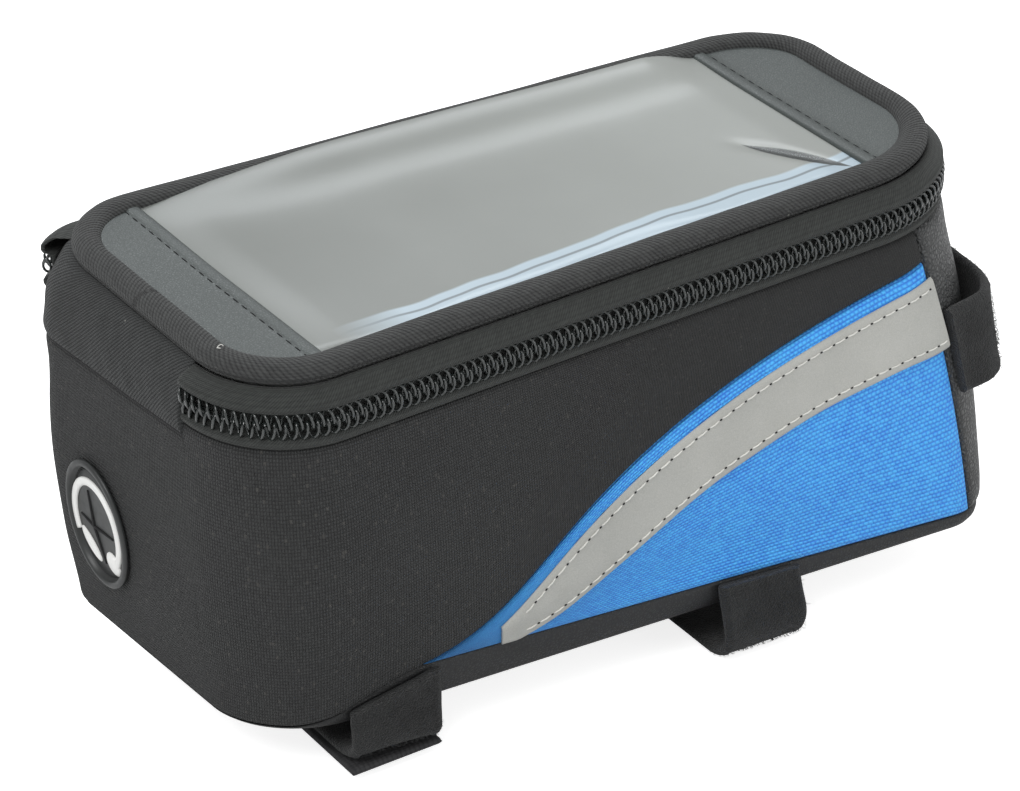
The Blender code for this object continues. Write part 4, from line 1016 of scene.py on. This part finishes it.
def zipStations(steps):
    halves = []
    for hand in (1, -1):
        corner = zipEnd(hand) + (2 - zipEnd(hand)) * np.linspace(0, 1, steps[0])
        halves.append(
            np.concatenate([corner, np.linspace(2, 3, steps[1])[1:], np.linspace(3, 4, steps[2])[1:], [5.0]])
        )
    station = np.concatenate([halves[0], halves[1][-2::-1]])
    side = np.concatenate([np.ones(len(halves[0])), -np.ones(len(halves[1]) - 1)])
    return station, side


# profiles are pairs of height and inset: the upper tape slopes out from the lid's seam and turns down to
# the coil, the lower one goes down from the coil and behind the wall's top
tapes = {
    "thickness": 0.0009,
    "seam": 0.0952,
    "upper": [
        (0.0946, 0.0026), (0.0936, 0.0009), (0.0926, -0.0002), (0.0914, -0.0003),
        (0.0907, 0.0002), (0.0903, 0.0017), (0.0898, 0.0021), (0.0877, 0.0021),
    ],
    "lower": [
        (0.0874, 0.0021), (0.0853, 0.0021), (0.0848, 0.0015), (0.0845, 0.0002), (0.0838, -0.0002),
        (0.0829, -0.0001), (0.0823, 0.0003), (0.0817, 0.0010), (0.0809, 0.0010),
    ],
}


def makeTapes():
    station, side = zipStations((40, 60, 40))
    thickness = tapes["thickness"]
    shapes = (("upper", "upper_zip_tape", "lid"), ("lower", "lower_zip_tape", "bag"))
    for label, node, body in shapes:
        profile = tapes[label]
        outer = [zipPoint(station, side, z, inset) for z, inset in profile]
        inner = [zipPoint(station, side, z, inset + thickness) for z, inset in profile]
        if body == "lid":
            outer.insert(0, lidPoint(station, side, tapes["seam"]))
            inner.insert(0, lidPoint(station, side, tapes["seam"], thickness))
        tape = makeSlab(label + "Tape", np.stack(outer, axis=1), np.stack(inner, axis=1), finish["tape"])
        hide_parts(node)
        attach(tape, body)


def makeCoil(name, hand, node, body):
    # a helix along the zip: it swings between tape and middle, and in and out of the tape's plane
    station, side = zipStations((60, 200, 60))
    line = zipPoint(station, side, 0.0, 0.0005)[:, :2]
    run = runAlong(line)
    turns = int(run[-1] / zipper["pitch"])
    steps = 12
    t = np.arange(turns * steps) / steps
    phase = 2 * math.pi * t
    back = 0.5 if hand < 0 else 0.0
    distance = np.clip((t + back) * zipper["pitch"] + 0.18 * zipper["pitch"] * np.sin(phase), 0, run[-1])
    middle = pointsAt(distance, run, line)
    outward = pointsAt(
        distance, run, np.stack([np.gradient(line[:, 1], run), -np.gradient(line[:, 0], run)], axis=-1)
    )
    outward /= np.linalg.norm(outward, axis=1)[:, None]
    z = zipper["middle"] + hand * (zipper["centre"] + zipper["reach"] * np.cos(phase))
    path = np.column_stack([middle + outward * (zipper["depth"] * np.sin(phase))[:, None], z])
    head = np.exp(-((np.mod(t, 1) - 0.5) ** 2) / 0.02)
    coil = makeTube(name, path, zipper["wire"] * (1 + 0.35 * head), finish["coil"], sides=6, up=(0.3, 0.2, 1))
    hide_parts(node)
    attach(coil, body)


makeTapes()
makeCoil("upperCoil", 1, "upper_zip_teeth", "lid")
makeCoil("lowerCoil", -1, "lower_zip_teeth", "bag")
for label in ("front", "rear"):
    for node in ("zip_slider_" + label, "zip_pull_" + label):
        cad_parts[node].data.materials[0] = finish["blackPaint"]
print("zip made")


hinge = {
    "top": 0.0956, "lift": 0.0004, "thickness": 0.0012, "bulge": 0.0016, "gather": 0.0003,
    "seamThread": 0.00055,
}


def makeHinge():
    # strip from the lid's seam to the rear wall's seam, rolled into both, with a soft bulge between
    near, far = np.linspace(zipEnd(1) + 0.012, 0, 30), np.linspace(0, zipEnd(-1) + 0.01, 50)[1:]
    station = np.concatenate([near, far])
    side = np.concatenate([np.ones(len(near)), -np.ones(len(far))])
    share = denseEnds(28)[None, :]
    at, turned = station[:, None] + 0 * share, side[:, None] + 0 * share
    height = hinge["top"] - hingeHeight(station, side)[:, None]
    edge = np.minimum(share, 1 - share) * height
    gather = ripple(station[:, None] * 0.03 * turned, share * height, 5.0, 0.012)
    swell = hinge["bulge"] * np.sin(math.pi * share) - seamDip(edge) * 0.8
    swell = swell + hinge["gather"] * gather * smooth(edge / 0.003)
    settle = share**0.8

    def surface(lift):
        top = lidPoint(at, turned, hinge["top"], -lift)
        low = bodyPoint(at, turned, hinge["top"] - height, -lift)
        grid = top + (low - top) * settle[..., None]
        grid[..., 2] = hinge["top"] - share * height
        return grid

    outer = surface(swell + hinge["lift"])
    cloth = makeSlab("hingeCloth", outer, surface(hinge["lift"] - hinge["thickness"]), finish["hinge"])
    seam = makeTube(
        "hingeSeam", outer[:, -1], hinge["seamThread"], finish["darkThread"], sides=8, up=(0, 0, 1)
    )
    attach(seam, "bag")
    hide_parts("hinge_panel")
    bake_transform(cloth)


lid = {"halfWidth": 0.0037, "centre": 0.0970, "rise": 0.0029, "fall": 0.0022}


def makeBorder():
    # padded roll round the lid: an oval carried round the outline, flatter below
    station, side = closeStations((14, 40, 90, 36, 14))
    turn = np.linspace(0, 2 * math.pi, 28, endpoint=False)
    run = np.linspace(0, 0.56, len(station), endpoint=False)
    rings = []
    for angle in turn:
        inset = lid["halfWidth"] * (1 - math.cos(angle) * (1.0 - 0.06 * math.cos(2 * angle)))
        rise = lid["rise"] if math.sin(angle) > 0 else lid["fall"]
        wobble = 0.00018 * ripple(run, np.full(len(run), angle * 0.003), 7.0, 0.03)
        z = lid["centre"] + rise * math.sin(angle) + wobble * max(0.0, math.sin(angle))
        rings.append(lidPoint(station, side, z, inset))
    grid = np.stack(rings, axis=1)
    border = makeMesh(
        "lidBorder", grid, gridFaces(*grid.shape[:2], True, True), finish["piping"], clothUv(grid)
    )
    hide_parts("lid_piping")
    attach(border, "lid")


film = {"level": 0.0977, "thickness": 0.0003, "inset": 0.0050, "bow": 0.0034, "roll": 0.0062, "drop": 0.0014}
film.update(wave=0.0003, fineWave=0.00006, endDrop=0.0004, ridge=0.00022)
lidPanel = {"rearFold": -0.0745, "frontFold": 0.0735, "inset": 0.0052, "level": 0.0974, "wave": 0.00025}
# distances from a panel's fold and the heights there: the folded hem, then a step down to one layer
foldSteps = (
    [0, 0.0003, 0.0008, 0.0028, 0.0035, 0.0041, 0.02],
    [0.0004, 0.0009, 0.0011, 0.0011, 0.00075, 0.0006, 0.0006],
)


def lidWidths(x, inset):
    # distances from the middle plane to the near and far edge inside the border, at x
    station = np.linspace(0, 5, 900)
    outlines = [lidPoint(station, hand, 0.0, inset) for hand in (1, -1)]
    return [np.interp(x, line[:, 0], np.abs(line[:, 1])) for line in outlines]


def acrossLid(x, share, inset):
    # y at share of the lid's width, -1 at the near edge and 1 at the far one
    near, far = (width[:, None] for width in lidWidths(x, inset))
    return -near + (near + far) * (share[None, :] + 1) / 2


def filmHeight(x, y):
    # the slack film: broad waves, a bow above the far border, a roll with a small ridge down to the near one,
    # and one sharp crease near the front
    near, far = lidWidths(x, film["inset"])
    toNear, toFar = near + y, far - y
    ends = smooth((x - lidPanel["rearFold"]) / 0.010) * smooth((lidPanel["frontFold"] - x) / 0.010)
    waves = film["wave"] * ripple(x, y, 11.0, 0.09) + film["fineWave"] * ripple(x, y * 0.4, 12.5, 0.04)
    waves = waves * ends - film["endDrop"] * (1 - ends)
    along = smooth((x + 0.09) / 0.07) * smooth((0.078 - x) / 0.02)
    hump = np.exp(-(((toFar - 0.0016) / 0.0105) ** 2)) * np.sqrt(np.clip(toFar / 0.0009, 0.1, 1))
    bow = film["bow"] * along * hump
    width = film["roll"] * (1 + 0.3 * np.sin(x * 62 + 1.2) + 0.15 * np.sin(x * 137))
    roll = -film["drop"] * (1 - smooth(toNear / width)) ** 1.5
    ridge = film["ridge"] * np.exp(-(((toNear - 0.45 * width) / 0.0005) ** 2))
    turnX, turnY = math.cos(crease["turn"]), math.sin(crease["turn"])
    along = ((x - crease["x"]) * turnX + (y - crease["y"]) * turnY) / crease["long"]
    across = ((y - crease["y"]) * turnX - (x - crease["x"]) * turnY) / crease["wide"]
    pinch = crease["deep"] * np.exp(-(across**2) - along**4)
    return waves + bow + roll + ridge - pinch * ends


def makeFilm():
    xs = np.linspace(-0.0775, 0.0765, 220)
    y = acrossLid(xs, denseEnds(170, 0.8) * 2 - 1, film["inset"])
    x = xs[:, None] + 0 * y
    z = film["level"] + filmHeight(x, y)
    outer, inner = np.stack([x, y, z], axis=-1), np.stack([x, y, z - film["thickness"]], axis=-1)
    sheet = makeSlab("windowFilm", outer, inner, finish["film"])
    spots = np.array([corner.co for corner in sheet.data.vertices])
    toNear = sheet.data.attributes.new("toNear", "FLOAT", "POINT")
    toNear.data.foreach_set(
        "value", (lidWidths(spots[:, 0], film["inset"])[0] + spots[:, 1]).astype(np.float32)
    )
    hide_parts("window_film")
    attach(sheet, "lid")


def makeEndPanels():
    # leatherette ends of the window, each with a folded hem and a row of stitches
    rows = []
    for label, hand in (("rear", -1), ("front", 1)):
        fold = lidPanel[label + "Fold"]
        outerEnd = bag["lidRear"] + lidPanel["inset"] if hand < 0 else bag["lidFront"] - lidPanel["inset"]
        hemReach = [0, 0.0003, 0.0008, 0.0028, 0.0033, 0.0037, 0.0042]
        reach = np.concatenate([hemReach, np.linspace(0.006, abs(outerEnd - fold), 40)])
        xs = fold + hand * reach
        raised = np.interp(reach, *foldSteps)
        share = np.linspace(-1, 1, 70)
        y = acrossLid(xs, share, lidPanel["inset"])
        x = xs[:, None] + 0 * y
        waves = lidPanel["wave"] * ripple(x, y, 21.0 + hand, 0.05)
        z = lidPanel["level"] + raised[:, None] + waves - 0.0003 * (1 - share[None, :] ** 2)
        outer, inner = np.stack([x, y, z], axis=-1), np.stack([x, y, z - raised[:, None] * 0.8], axis=-1)
        panel = makeSlab("lidLeather_" + label, outer, inner, finish["lidLeather"])
        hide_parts("lid_panel_" + label)
        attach(panel, "lid")
        rows.append(stitchRow(outer[5][1:-1], (0, 0, 1), 0.0026, 0.0011, 0.0001))
    threads = manyThreads("lidStitches", *joinRows(rows), 0.00017, finish["darkThread"])
    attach(threads, "lid")


loose = {"station": 1.16, "turn": 4.2, "curl": 0.0006, "growth": 0.0003, "radius": 0.00009}


def makeLooseThread():
    # a curl of loose thread that lies on the lid's border near the rear
    turn = np.linspace(0, loose["turn"], 24)
    curl = loose["curl"] + loose["growth"] * turn / loose["turn"]
    top = lid["centre"] + lid["rise"] + 0.0002
    at = lidPoint(np.array([loose["station"]]), np.array([1.0]), top, lid["halfWidth"])[0]
    height = 0.0002 + 0.0002 * np.sin(turn * 2)
    path = at + np.column_stack([curl * np.cos(turn), curl * np.sin(turn), height])
    thread = makeTube("looseThread", path, loose["radius"], finish["paleThread"], sides=6, up=(0, 0, 1))
    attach(thread, "lid")


makeBorder()
makeLooseThread()
makeFilm()
makeEndPanels()
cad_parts["phone_backing"].data.materials[0] = finish["backing"]
makeHinge()
print("lid made")


strap = {"thickness": 0.0022, "width": 0.022, "corner": 0.0085, "bendStart": 0.35, "clearance": 0.0003}
strap.update(headStart=3.25, headLow=0.0385, headStandout=0.0073)
# each strap under the bag: x of its rear edge, how far it hangs and how far it bulges out
hanging = {
    "rear": (bag["lidRear"] + 0.0255, 0.0079, 0.0003), "front": (bag["lidFront"] - 0.0774, 0.0118, 0.0030)
}


def hangingPath(x, drop, bulge, steps=26):
    # (y, z) of a strap's outer face at x: down from the near hem, round under the bag and up to the far hem
    top = float(hem(x)) - 0.0006
    outline = bodyPoint(np.linspace(2, 3, 60), 1, top)
    edge = -np.interp(x, outline[:, 0], outline[:, 1]) - bag["baseInset"]
    half = edge + strap["clearance"] + strap["thickness"]
    bend = -strap["bendStart"] * drop
    z = np.linspace(top, bend, steps)
    y = half + bulge * smooth((top - z) / (top - bend))
    turn = np.linspace(0, math.pi / 2, steps)[1:]
    y = np.concatenate([y, half + bulge - strap["corner"] * (1 - np.cos(turn))])
    z = np.concatenate([z, bend - (drop + bend) * np.sin(turn)])
    middle = np.linspace(-y[-1], y[-1], 40)[1:-1]
    low = np.stack([middle, np.full(len(middle), z[-1])], axis=1)
    return np.concatenate([np.stack([-y, z], axis=1), low, np.stack([y, z], axis=1)[::-1]])


def strapSection(width, thickness):
    # (across, depth) pairs once round a strap's flat section: softly rounded edges, a woven ridge inside each
    inner = np.linspace(0.0035, width - 0.0035, 14)
    rim = np.array([0.0, 0.0003, 0.0009, 0.0015, 0.0022])
    across = np.concatenate([rim, inner, width - rim[::-1]])
    edge = np.minimum(across, width - across)
    ridge = 0.00025 * np.exp(-(((edge - 0.0014) / 0.0006) ** 2))
    depth = 0.0007 * (1 - np.clip(edge / 0.0012, 0, 1)) ** 2 - ridge
    back = thickness - 0.0006 * (1 - np.clip(edge / 0.0012, 0, 1)) ** 2
    return np.concatenate([across, across[::-1]]), np.concatenate([depth, back[::-1]])


def makeBand(name, node, surface, rows, width, seed, fuzz):
    # surface(row, across, depth) gives world points; the band is closed by a flat face at each sewn end
    across, depth = strapSection(width, strap["thickness"])
    row = np.arange(rows)[:, None]
    waves = 0.0002 * ripple(row * 0.0012, across[None, :], seed, 0.02)
    grid = surface(row + 0 * across, across[None, :] + 0 * row, depth[None, :] + waves)
    half = len(across) // 2
    k = np.arange(half - 1)
    ends = [np.stack([k, k + 1, 2 * half - 2 - k, 2 * half - 1 - k], axis=-1)[:, ::-1]]
    ends.append(ends[0][:, ::-1] + (rows - 1) * 2 * half)
    faces = np.concatenate([gridFaces(rows, 2 * half, False, True)] + ends)
    band = makeMesh(name, grid, faces, finish["pile"], clothUv(grid))
    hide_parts(node)
    rng = np.random.default_rng(int(seed * 10))
    at, over = rng.uniform(1, rows - 2, fuzz), rng.uniform(0.0004, width - 0.0004, fuzz)
    length, lean = rng.uniform(0.0004, 0.0011, fuzz), rng.normal(0, 0.0006, (fuzz, 2))
    points = []
    for rise, slide in ((-0.3, 0.0), (1.0, 0.4), (0.65, 1.0)):
        points.append(surface(at + lean[:, 0] * slide * 900, over + lean[:, 1] * slide, -length * rise))
    fibres = manyThreads(name + "Fibres", *points, np.full(fuzz, 0.00005), finish["pileFibre"])
    for piece in (band, fibres):
        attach(piece, "bag")


def alongPath(path, rows, row):
    # point and inward normal at fractional rows of an (a, b) path
    ahead = np.gradient(path, axis=0)
    ahead /= np.linalg.norm(ahead, axis=1)[:, None]
    at = np.arange(rows)
    return pointsAt(row, at, path), pointsAt(row, at, np.stack([-ahead[:, 1], ahead[:, 0]], axis=-1))


def hangingSurface(x, drop, bulge):
    ends = [hangingPath(x + shift, drop, bulge) for shift in (0.0, strap["width"])]
    rows = len(ends[0])

    def surface(row, across, depth):
        parts = []
        for path in ends:
            spot, normal = alongPath(path, rows, row)
            parts.append(spot + normal * depth[..., None])
        share = (across / strap["width"])[..., None]
        yz = parts[0] * (1 - share) + parts[1] * share
        return np.concatenate([(x + across)[..., None], yz], axis=-1)

    return surface, rows


def headSurface():
    # the strap over the front end: sewn in at the front corners, standing off between them
    near = np.concatenate([np.linspace(strap["headStart"], 4, 60)[:-1], np.linspace(4, 5, 20)])
    station = roundFront(near)[0]
    rows = len(station)
    bend = smooth((station - strap["headStart"]) / 0.3) * (1 - 0.6 * smooth((station - 3.6) / 0.3))
    flush = strap["clearance"] + strap["thickness"]
    rise = flush + (strap["headStandout"] - flush) * bend

    def surface(row, across, depth):
        count = np.arange(rows)
        at, lift = np.interp(row, count, station), np.interp(row, count, rise)
        return bodyPoint(
            at, np.where(row < len(near) - 0.5, 1.0, -1.0), strap["headLow"] + across, depth - lift
        )

    return surface, rows


def makeTab(low, high):
    # webbing tab: flat with rounded edges and a double row of stitches round it
    (x0, y0, bottom), (x1, y1, top) = low, high
    x, y = np.meshgrid(x0 + (x1 - x0) * denseEnds(30), y0 + (y1 - y0) * denseEnds(70), indexing="ij")
    edge = np.minimum(np.minimum(x - x0, x1 - x), np.minimum(y - y0, y1 - y))
    roll = 0.0008 * (1 - np.sqrt(np.clip(1 - np.clip(1 - edge / 0.001, 0, 1) ** 2, 0, 1)))
    tab = makeSlab(
        "rearTab", np.stack([x, y, top - roll], axis=-1), np.stack([x, y, bottom + roll], axis=-1),
        finish["webbing"],
    )
    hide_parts("rear_strap_tab")
    rows = []
    for inset in (0.0017, 0.0032):
        corners = [
            (x0 + inset, y0 + inset), (x1 - inset, y0 + inset), (x1 - inset, y1 - inset),
            (x0 + inset, y1 - inset),
        ]
        for (ax, ay), (bx, by) in zip(corners, corners[1:] + corners[:1]):
            for z, up in ((top, 1), (bottom, -1)):
                line = np.stack([np.linspace(ax, bx, 30), np.linspace(ay, by, 30), np.full(30, z)], axis=-1)
                rows.append(stitchRow(line, (0, 0, up), 0.0022, 0.0008, 0.00012))
    threads = manyThreads("rearTabStitches", *joinRows(rows), 0.00016, finish["webbing"])
    for piece in (tab, threads):
        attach(piece, "bag")


def makeStraps():
    width = strap["width"]
    makeBand("rearStrapPile", "rear_strap", *hangingSurface(*hanging["rear"]), width, 31.0, 1400)
    makeBand("frontStrapPile", "front_strap", *hangingSurface(*hanging["front"]), width, 32.0, 1600)
    makeBand("headStrapPile", "head_strap", *headSurface(), width, 33.0, 2200)
    makeTab(*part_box("rear_strap_tab"))


makeStraps()
print("straps made")


port = {
    "y": 0.01835, "z": 0.0340, "halfWidth": 0.0129, "halfHeight": 0.0164, "markY": 0.01945, "markZ": 0.0327,
    "lift": 0.0011,
}
portMark = {"ringY": 0.0094, "ringZ": 0.0114, "ringHalf": 0.00105, "ringCrown": 0.0006, "padCrown": 0.0008}


def rearX(y, z):
    # x of the rear wall's face at given places on the far half
    station = np.linspace(0, 2, 300)
    outline = bodyPoint(station, -1, port["z"])
    middle = float(bodyPoint(np.array(0.0), 1, port["z"])[0])
    lean = np.interp(z, *sampleRear())
    return np.interp(y, outline[:, 1], outline[:, 0]) - middle + lean - port["lift"]


def sampleRear():
    z = np.linspace(0.0, 0.08, 60)
    return z, np.array([float(bodyPoint(np.array(0.0), 1, h)[0]) for h in z])


def ovalRing(scale, depth, steps=96):
    turn = np.linspace(0, 2 * math.pi, steps, endpoint=False)
    y = port["y"] + (port["halfWidth"] + scale) * np.cos(turn)
    z = port["z"] + (port["halfHeight"] + scale) * np.sin(turn)
    return np.stack([rearX(y, z) + depth, y, z], axis=-1)


def makePort():
    # rings of scale and depth: a flat lip with a groove inside it, then the skin. Four dark tubes on the skin
    # stand for the slits, as painted shade in the cuts
    rings = [
        (-0.0118, -0.0002), (-0.006, -0.0003), (-0.0029, -0.0004), (-0.0024, 0.0003), (-0.0019, 0.0003),
        (-0.0017, -0.0012),
    ]
    rings += [
        (-0.0014, -0.0016), (-0.0006, -0.0016), (-0.0001, -0.0013), (0.0, -0.0006), (-0.0011, -0.0002),
        (-0.0011, 0.0045),
    ]
    rings += [(-0.0022, 0.0045), (-0.0022, 0.0010), (-0.006, 0.0009), (-0.0118, 0.0009)]
    grid = np.stack([ovalRing(scale, depth) for scale, depth in rings], axis=1)
    makeBowl("portRubber", grid, finish["rubber"], "cable_port")
    reach = np.linspace(0, 1, 16)
    slits = []
    for endY, endZ in ((0.0024, 0.0085), (0.0070, 0.0002), (-0.0068, -0.0003), (-0.0020, -0.0093)):
        y = port["markY"] + 0.0015 + (endY - 0.0015) * reach
        z = port["markZ"] - 0.0008 + (endZ + 0.0008) * reach
        slits.append(np.stack([rearX(y, z) - 0.0003, y, z], axis=-1))
    # painted shade: the slits are dark tubes laid on the skin
    for k, line in enumerate(slits):
        slit = makeTube(
            "portSlit_" + "abcd"[k], line, 0.00042 - 0.00012 * reach, finish["darkThread"], sides=6,
            up=(1, 0, 0),
        )
        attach(slit, "bag")


def raisedMark(name, y, z, crown, ringed=False):
    # white rubber standing crown above the skin, as a thin closed slab
    outer = np.stack([rearX(y, z) - 0.0004 - crown, y, z], axis=-1)
    inner = np.stack([rearX(y, z) - 0.0001 + 0 * crown, y, z], axis=-1)
    mark = makeSlab(name, outer, inner, finish["whiteMark"], ringed=ringed)
    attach(mark, "bag")


def makePortMark():
    # pale ring on the skin, open below, with a round pad at one end and a bar at the other
    turn = np.linspace(math.radians(-24), math.radians(222), 90)[:, None]
    across = np.linspace(-1, 1, 13)[None, :]
    crown = portMark["ringCrown"] * np.clip(1 - across**2, 0.03, 1) ** 0.35 + 0 * turn
    y = port["markY"] + (portMark["ringY"] + portMark["ringHalf"] * across) * np.cos(turn)
    z = port["markZ"] + (portMark["ringZ"] + portMark["ringHalf"] * across) * np.sin(turn)
    raisedMark("portRing", y, z, crown)
    radial = np.linspace(0.02, 1, 10)[None, :]
    around = np.linspace(0, 2 * math.pi, 40, endpoint=False)[:, None]
    dome = np.clip(1 - radial**2, 0.03, 1) ** 0.5 + 0 * around
    for name, spotY, spotZ, long, wide, lean in (
        ("portPad", -0.0058, -0.0074, 0.0031, 0.0025, 0.6),
        ("portBar", 0.0036, -0.0065, 0.0048, 0.0014, 0.70),
    ):
        u, v = long * radial * np.cos(around), wide * radial * np.sin(around)
        y = port["markY"] + spotY + u * math.cos(lean) - v * math.sin(lean)
        z = port["markZ"] + spotZ + u * math.sin(lean) + v * math.cos(lean)
        raisedMark(name, y, z, portMark["padCrown"] * dome, ringed=True)


makePort()
makePortMark()
print("port made")


view = {
    "azimuth": -33.3775, "elevation": 30.2750, "roll": -0.384, "focal": 4200.0, "distance": 0.950298,
    "across": -0.000434, "up": -0.046161,
}
view.update(sensor=36.0, photoWidth=1020.0)


lights = {
    "keyLight": {"spot": (-0.9, -0.5, 1.5), "target": (0, 0, 0.05), "size": (0.9, 0.9), "power": 16.0},
    "backLight": {"spot": (0.4, 1.1, 1.2), "target": (0, 0, 0.08), "size": (1.2, 0.5), "power": 10.0},
    "fillLight": {"spot": (0.9, -1.3, 0.5), "target": (0, 0, 0.05), "size": (1.2, 0.8), "power": 5.0},
}
lights["backLight"]["colour"] = (0.93, 0.97, 1.0)
stage = {"size": 6.0, "floorZ": -0.0127, "shade": 0.8, "roomLight": 0.55, "background": 1.0}


def placeCamera():
    a, e, r = (math.radians(view[k]) for k in ("azimuth", "elevation", "roll"))
    back = np.array([math.sin(a) * math.cos(e), -math.cos(a) * math.cos(e), math.sin(e)])
    right = np.array([math.cos(a), math.sin(a), 0.0])
    up = np.cross(back, right)
    right, up = math.cos(r) * right + math.sin(r) * up, -math.sin(r) * right + math.cos(r) * up
    spot = view["across"] * right + view["up"] * up + view["distance"] * back + np.array(
        [0, 0, bag["bagHeight"]]
    )
    camera = bpy.data.objects.new("camera", bpy.data.cameras.new("camera"))
    camera.data.sensor_width = view["sensor"]
    camera.data.lens = view["focal"] * view["sensor"] / view["photoWidth"]
    camera.data.clip_start = 0.01
    turned = Matrix([[right[k], up[k], back[k], spot[k]] for k in range(3)] + [[0, 0, 0, 1]])
    camera.matrix_world = turned
    bpy.context.scene.collection.objects.link(camera)
    bpy.context.scene.camera = camera


def areaLight(name, spot, target, size, power, colour=(1, 1, 1)):
    light = bpy.data.lights.new(name, "AREA")
    light.shape = "RECTANGLE"
    light.size, light.size_y = size
    light.energy = power
    light.color = colour
    obj = bpy.data.objects.new(name, light)
    away = np.array(spot) - np.array(target)
    away /= np.linalg.norm(away)
    right = np.cross((0, 0, 1), away)
    right /= np.linalg.norm(right)
    up = np.cross(away, right)
    obj.matrix_world = Matrix([[right[k], up[k], away[k], spot[k]] for k in range(3)] + [[0, 0, 0, 1]])
    bpy.context.scene.collection.objects.link(obj)


def makeStage():
    world = bpy.data.worlds.new("softRoom")
    world.use_nodes = True
    bpy.context.scene.world = world
    tree = world.node_tree
    tree.nodes.clear()
    w = Wires(tree)
    path = tree.nodes.new("ShaderNodeLightPath").outputs
    seen = w.math("MAXIMUM", path["Is Camera Ray"], path["Is Transmission Ray"])
    strength = w.range(seen, 0.0, 1.0, stage["roomLight"], stage["background"])
    background = tree.nodes.new("ShaderNodeBackground")
    background.inputs["Color"].default_value = (1, 1, 1, 1)
    w.put(background.inputs["Strength"], strength)
    out = tree.nodes.new("ShaderNodeOutputWorld")
    tree.links.new(background.outputs[0], out.inputs[0])

    material = bpy.data.materials.new("paleFloor")
    material.use_nodes = True
    tree = material.node_tree
    w = Wires(tree)
    shader = tree.nodes["Principled BSDF"]
    shader.inputs["Base Color"].default_value = (stage["shade"], stage["shade"], stage["shade"], 1)
    shader.inputs["Roughness"].default_value = 0.9
    shader.inputs["Specular IOR Level"].default_value = 0.0
    shader.inputs["Emission Color"].default_value = (1, 1, 1, 1)
    path = tree.nodes.new("ShaderNodeLightPath").outputs
    w.put(shader.inputs["Emission Strength"], w.times(path["Is Camera Ray"], stage["shade"]))
    size, floorZ = stage["size"], stage["floorZ"]
    corners = [(-size, -size, floorZ), (size, -size, floorZ), (size, size, floorZ), (-size, size, floorZ)]
    mesh = bpy.data.meshes.new("floor")
    mesh.from_pydata(corners, [], [(0, 1, 2, 3)])
    mesh.materials.append(material)
    floor = bpy.data.objects.new("floor", mesh)
    bpy.context.scene.collection.objects.link(floor)
    for name, values in lights.items():
        areaLight(name, **values)
    bpy.context.scene.view_settings.view_transform = "Standard"


placeCamera()
makeStage()
print("scene ready")
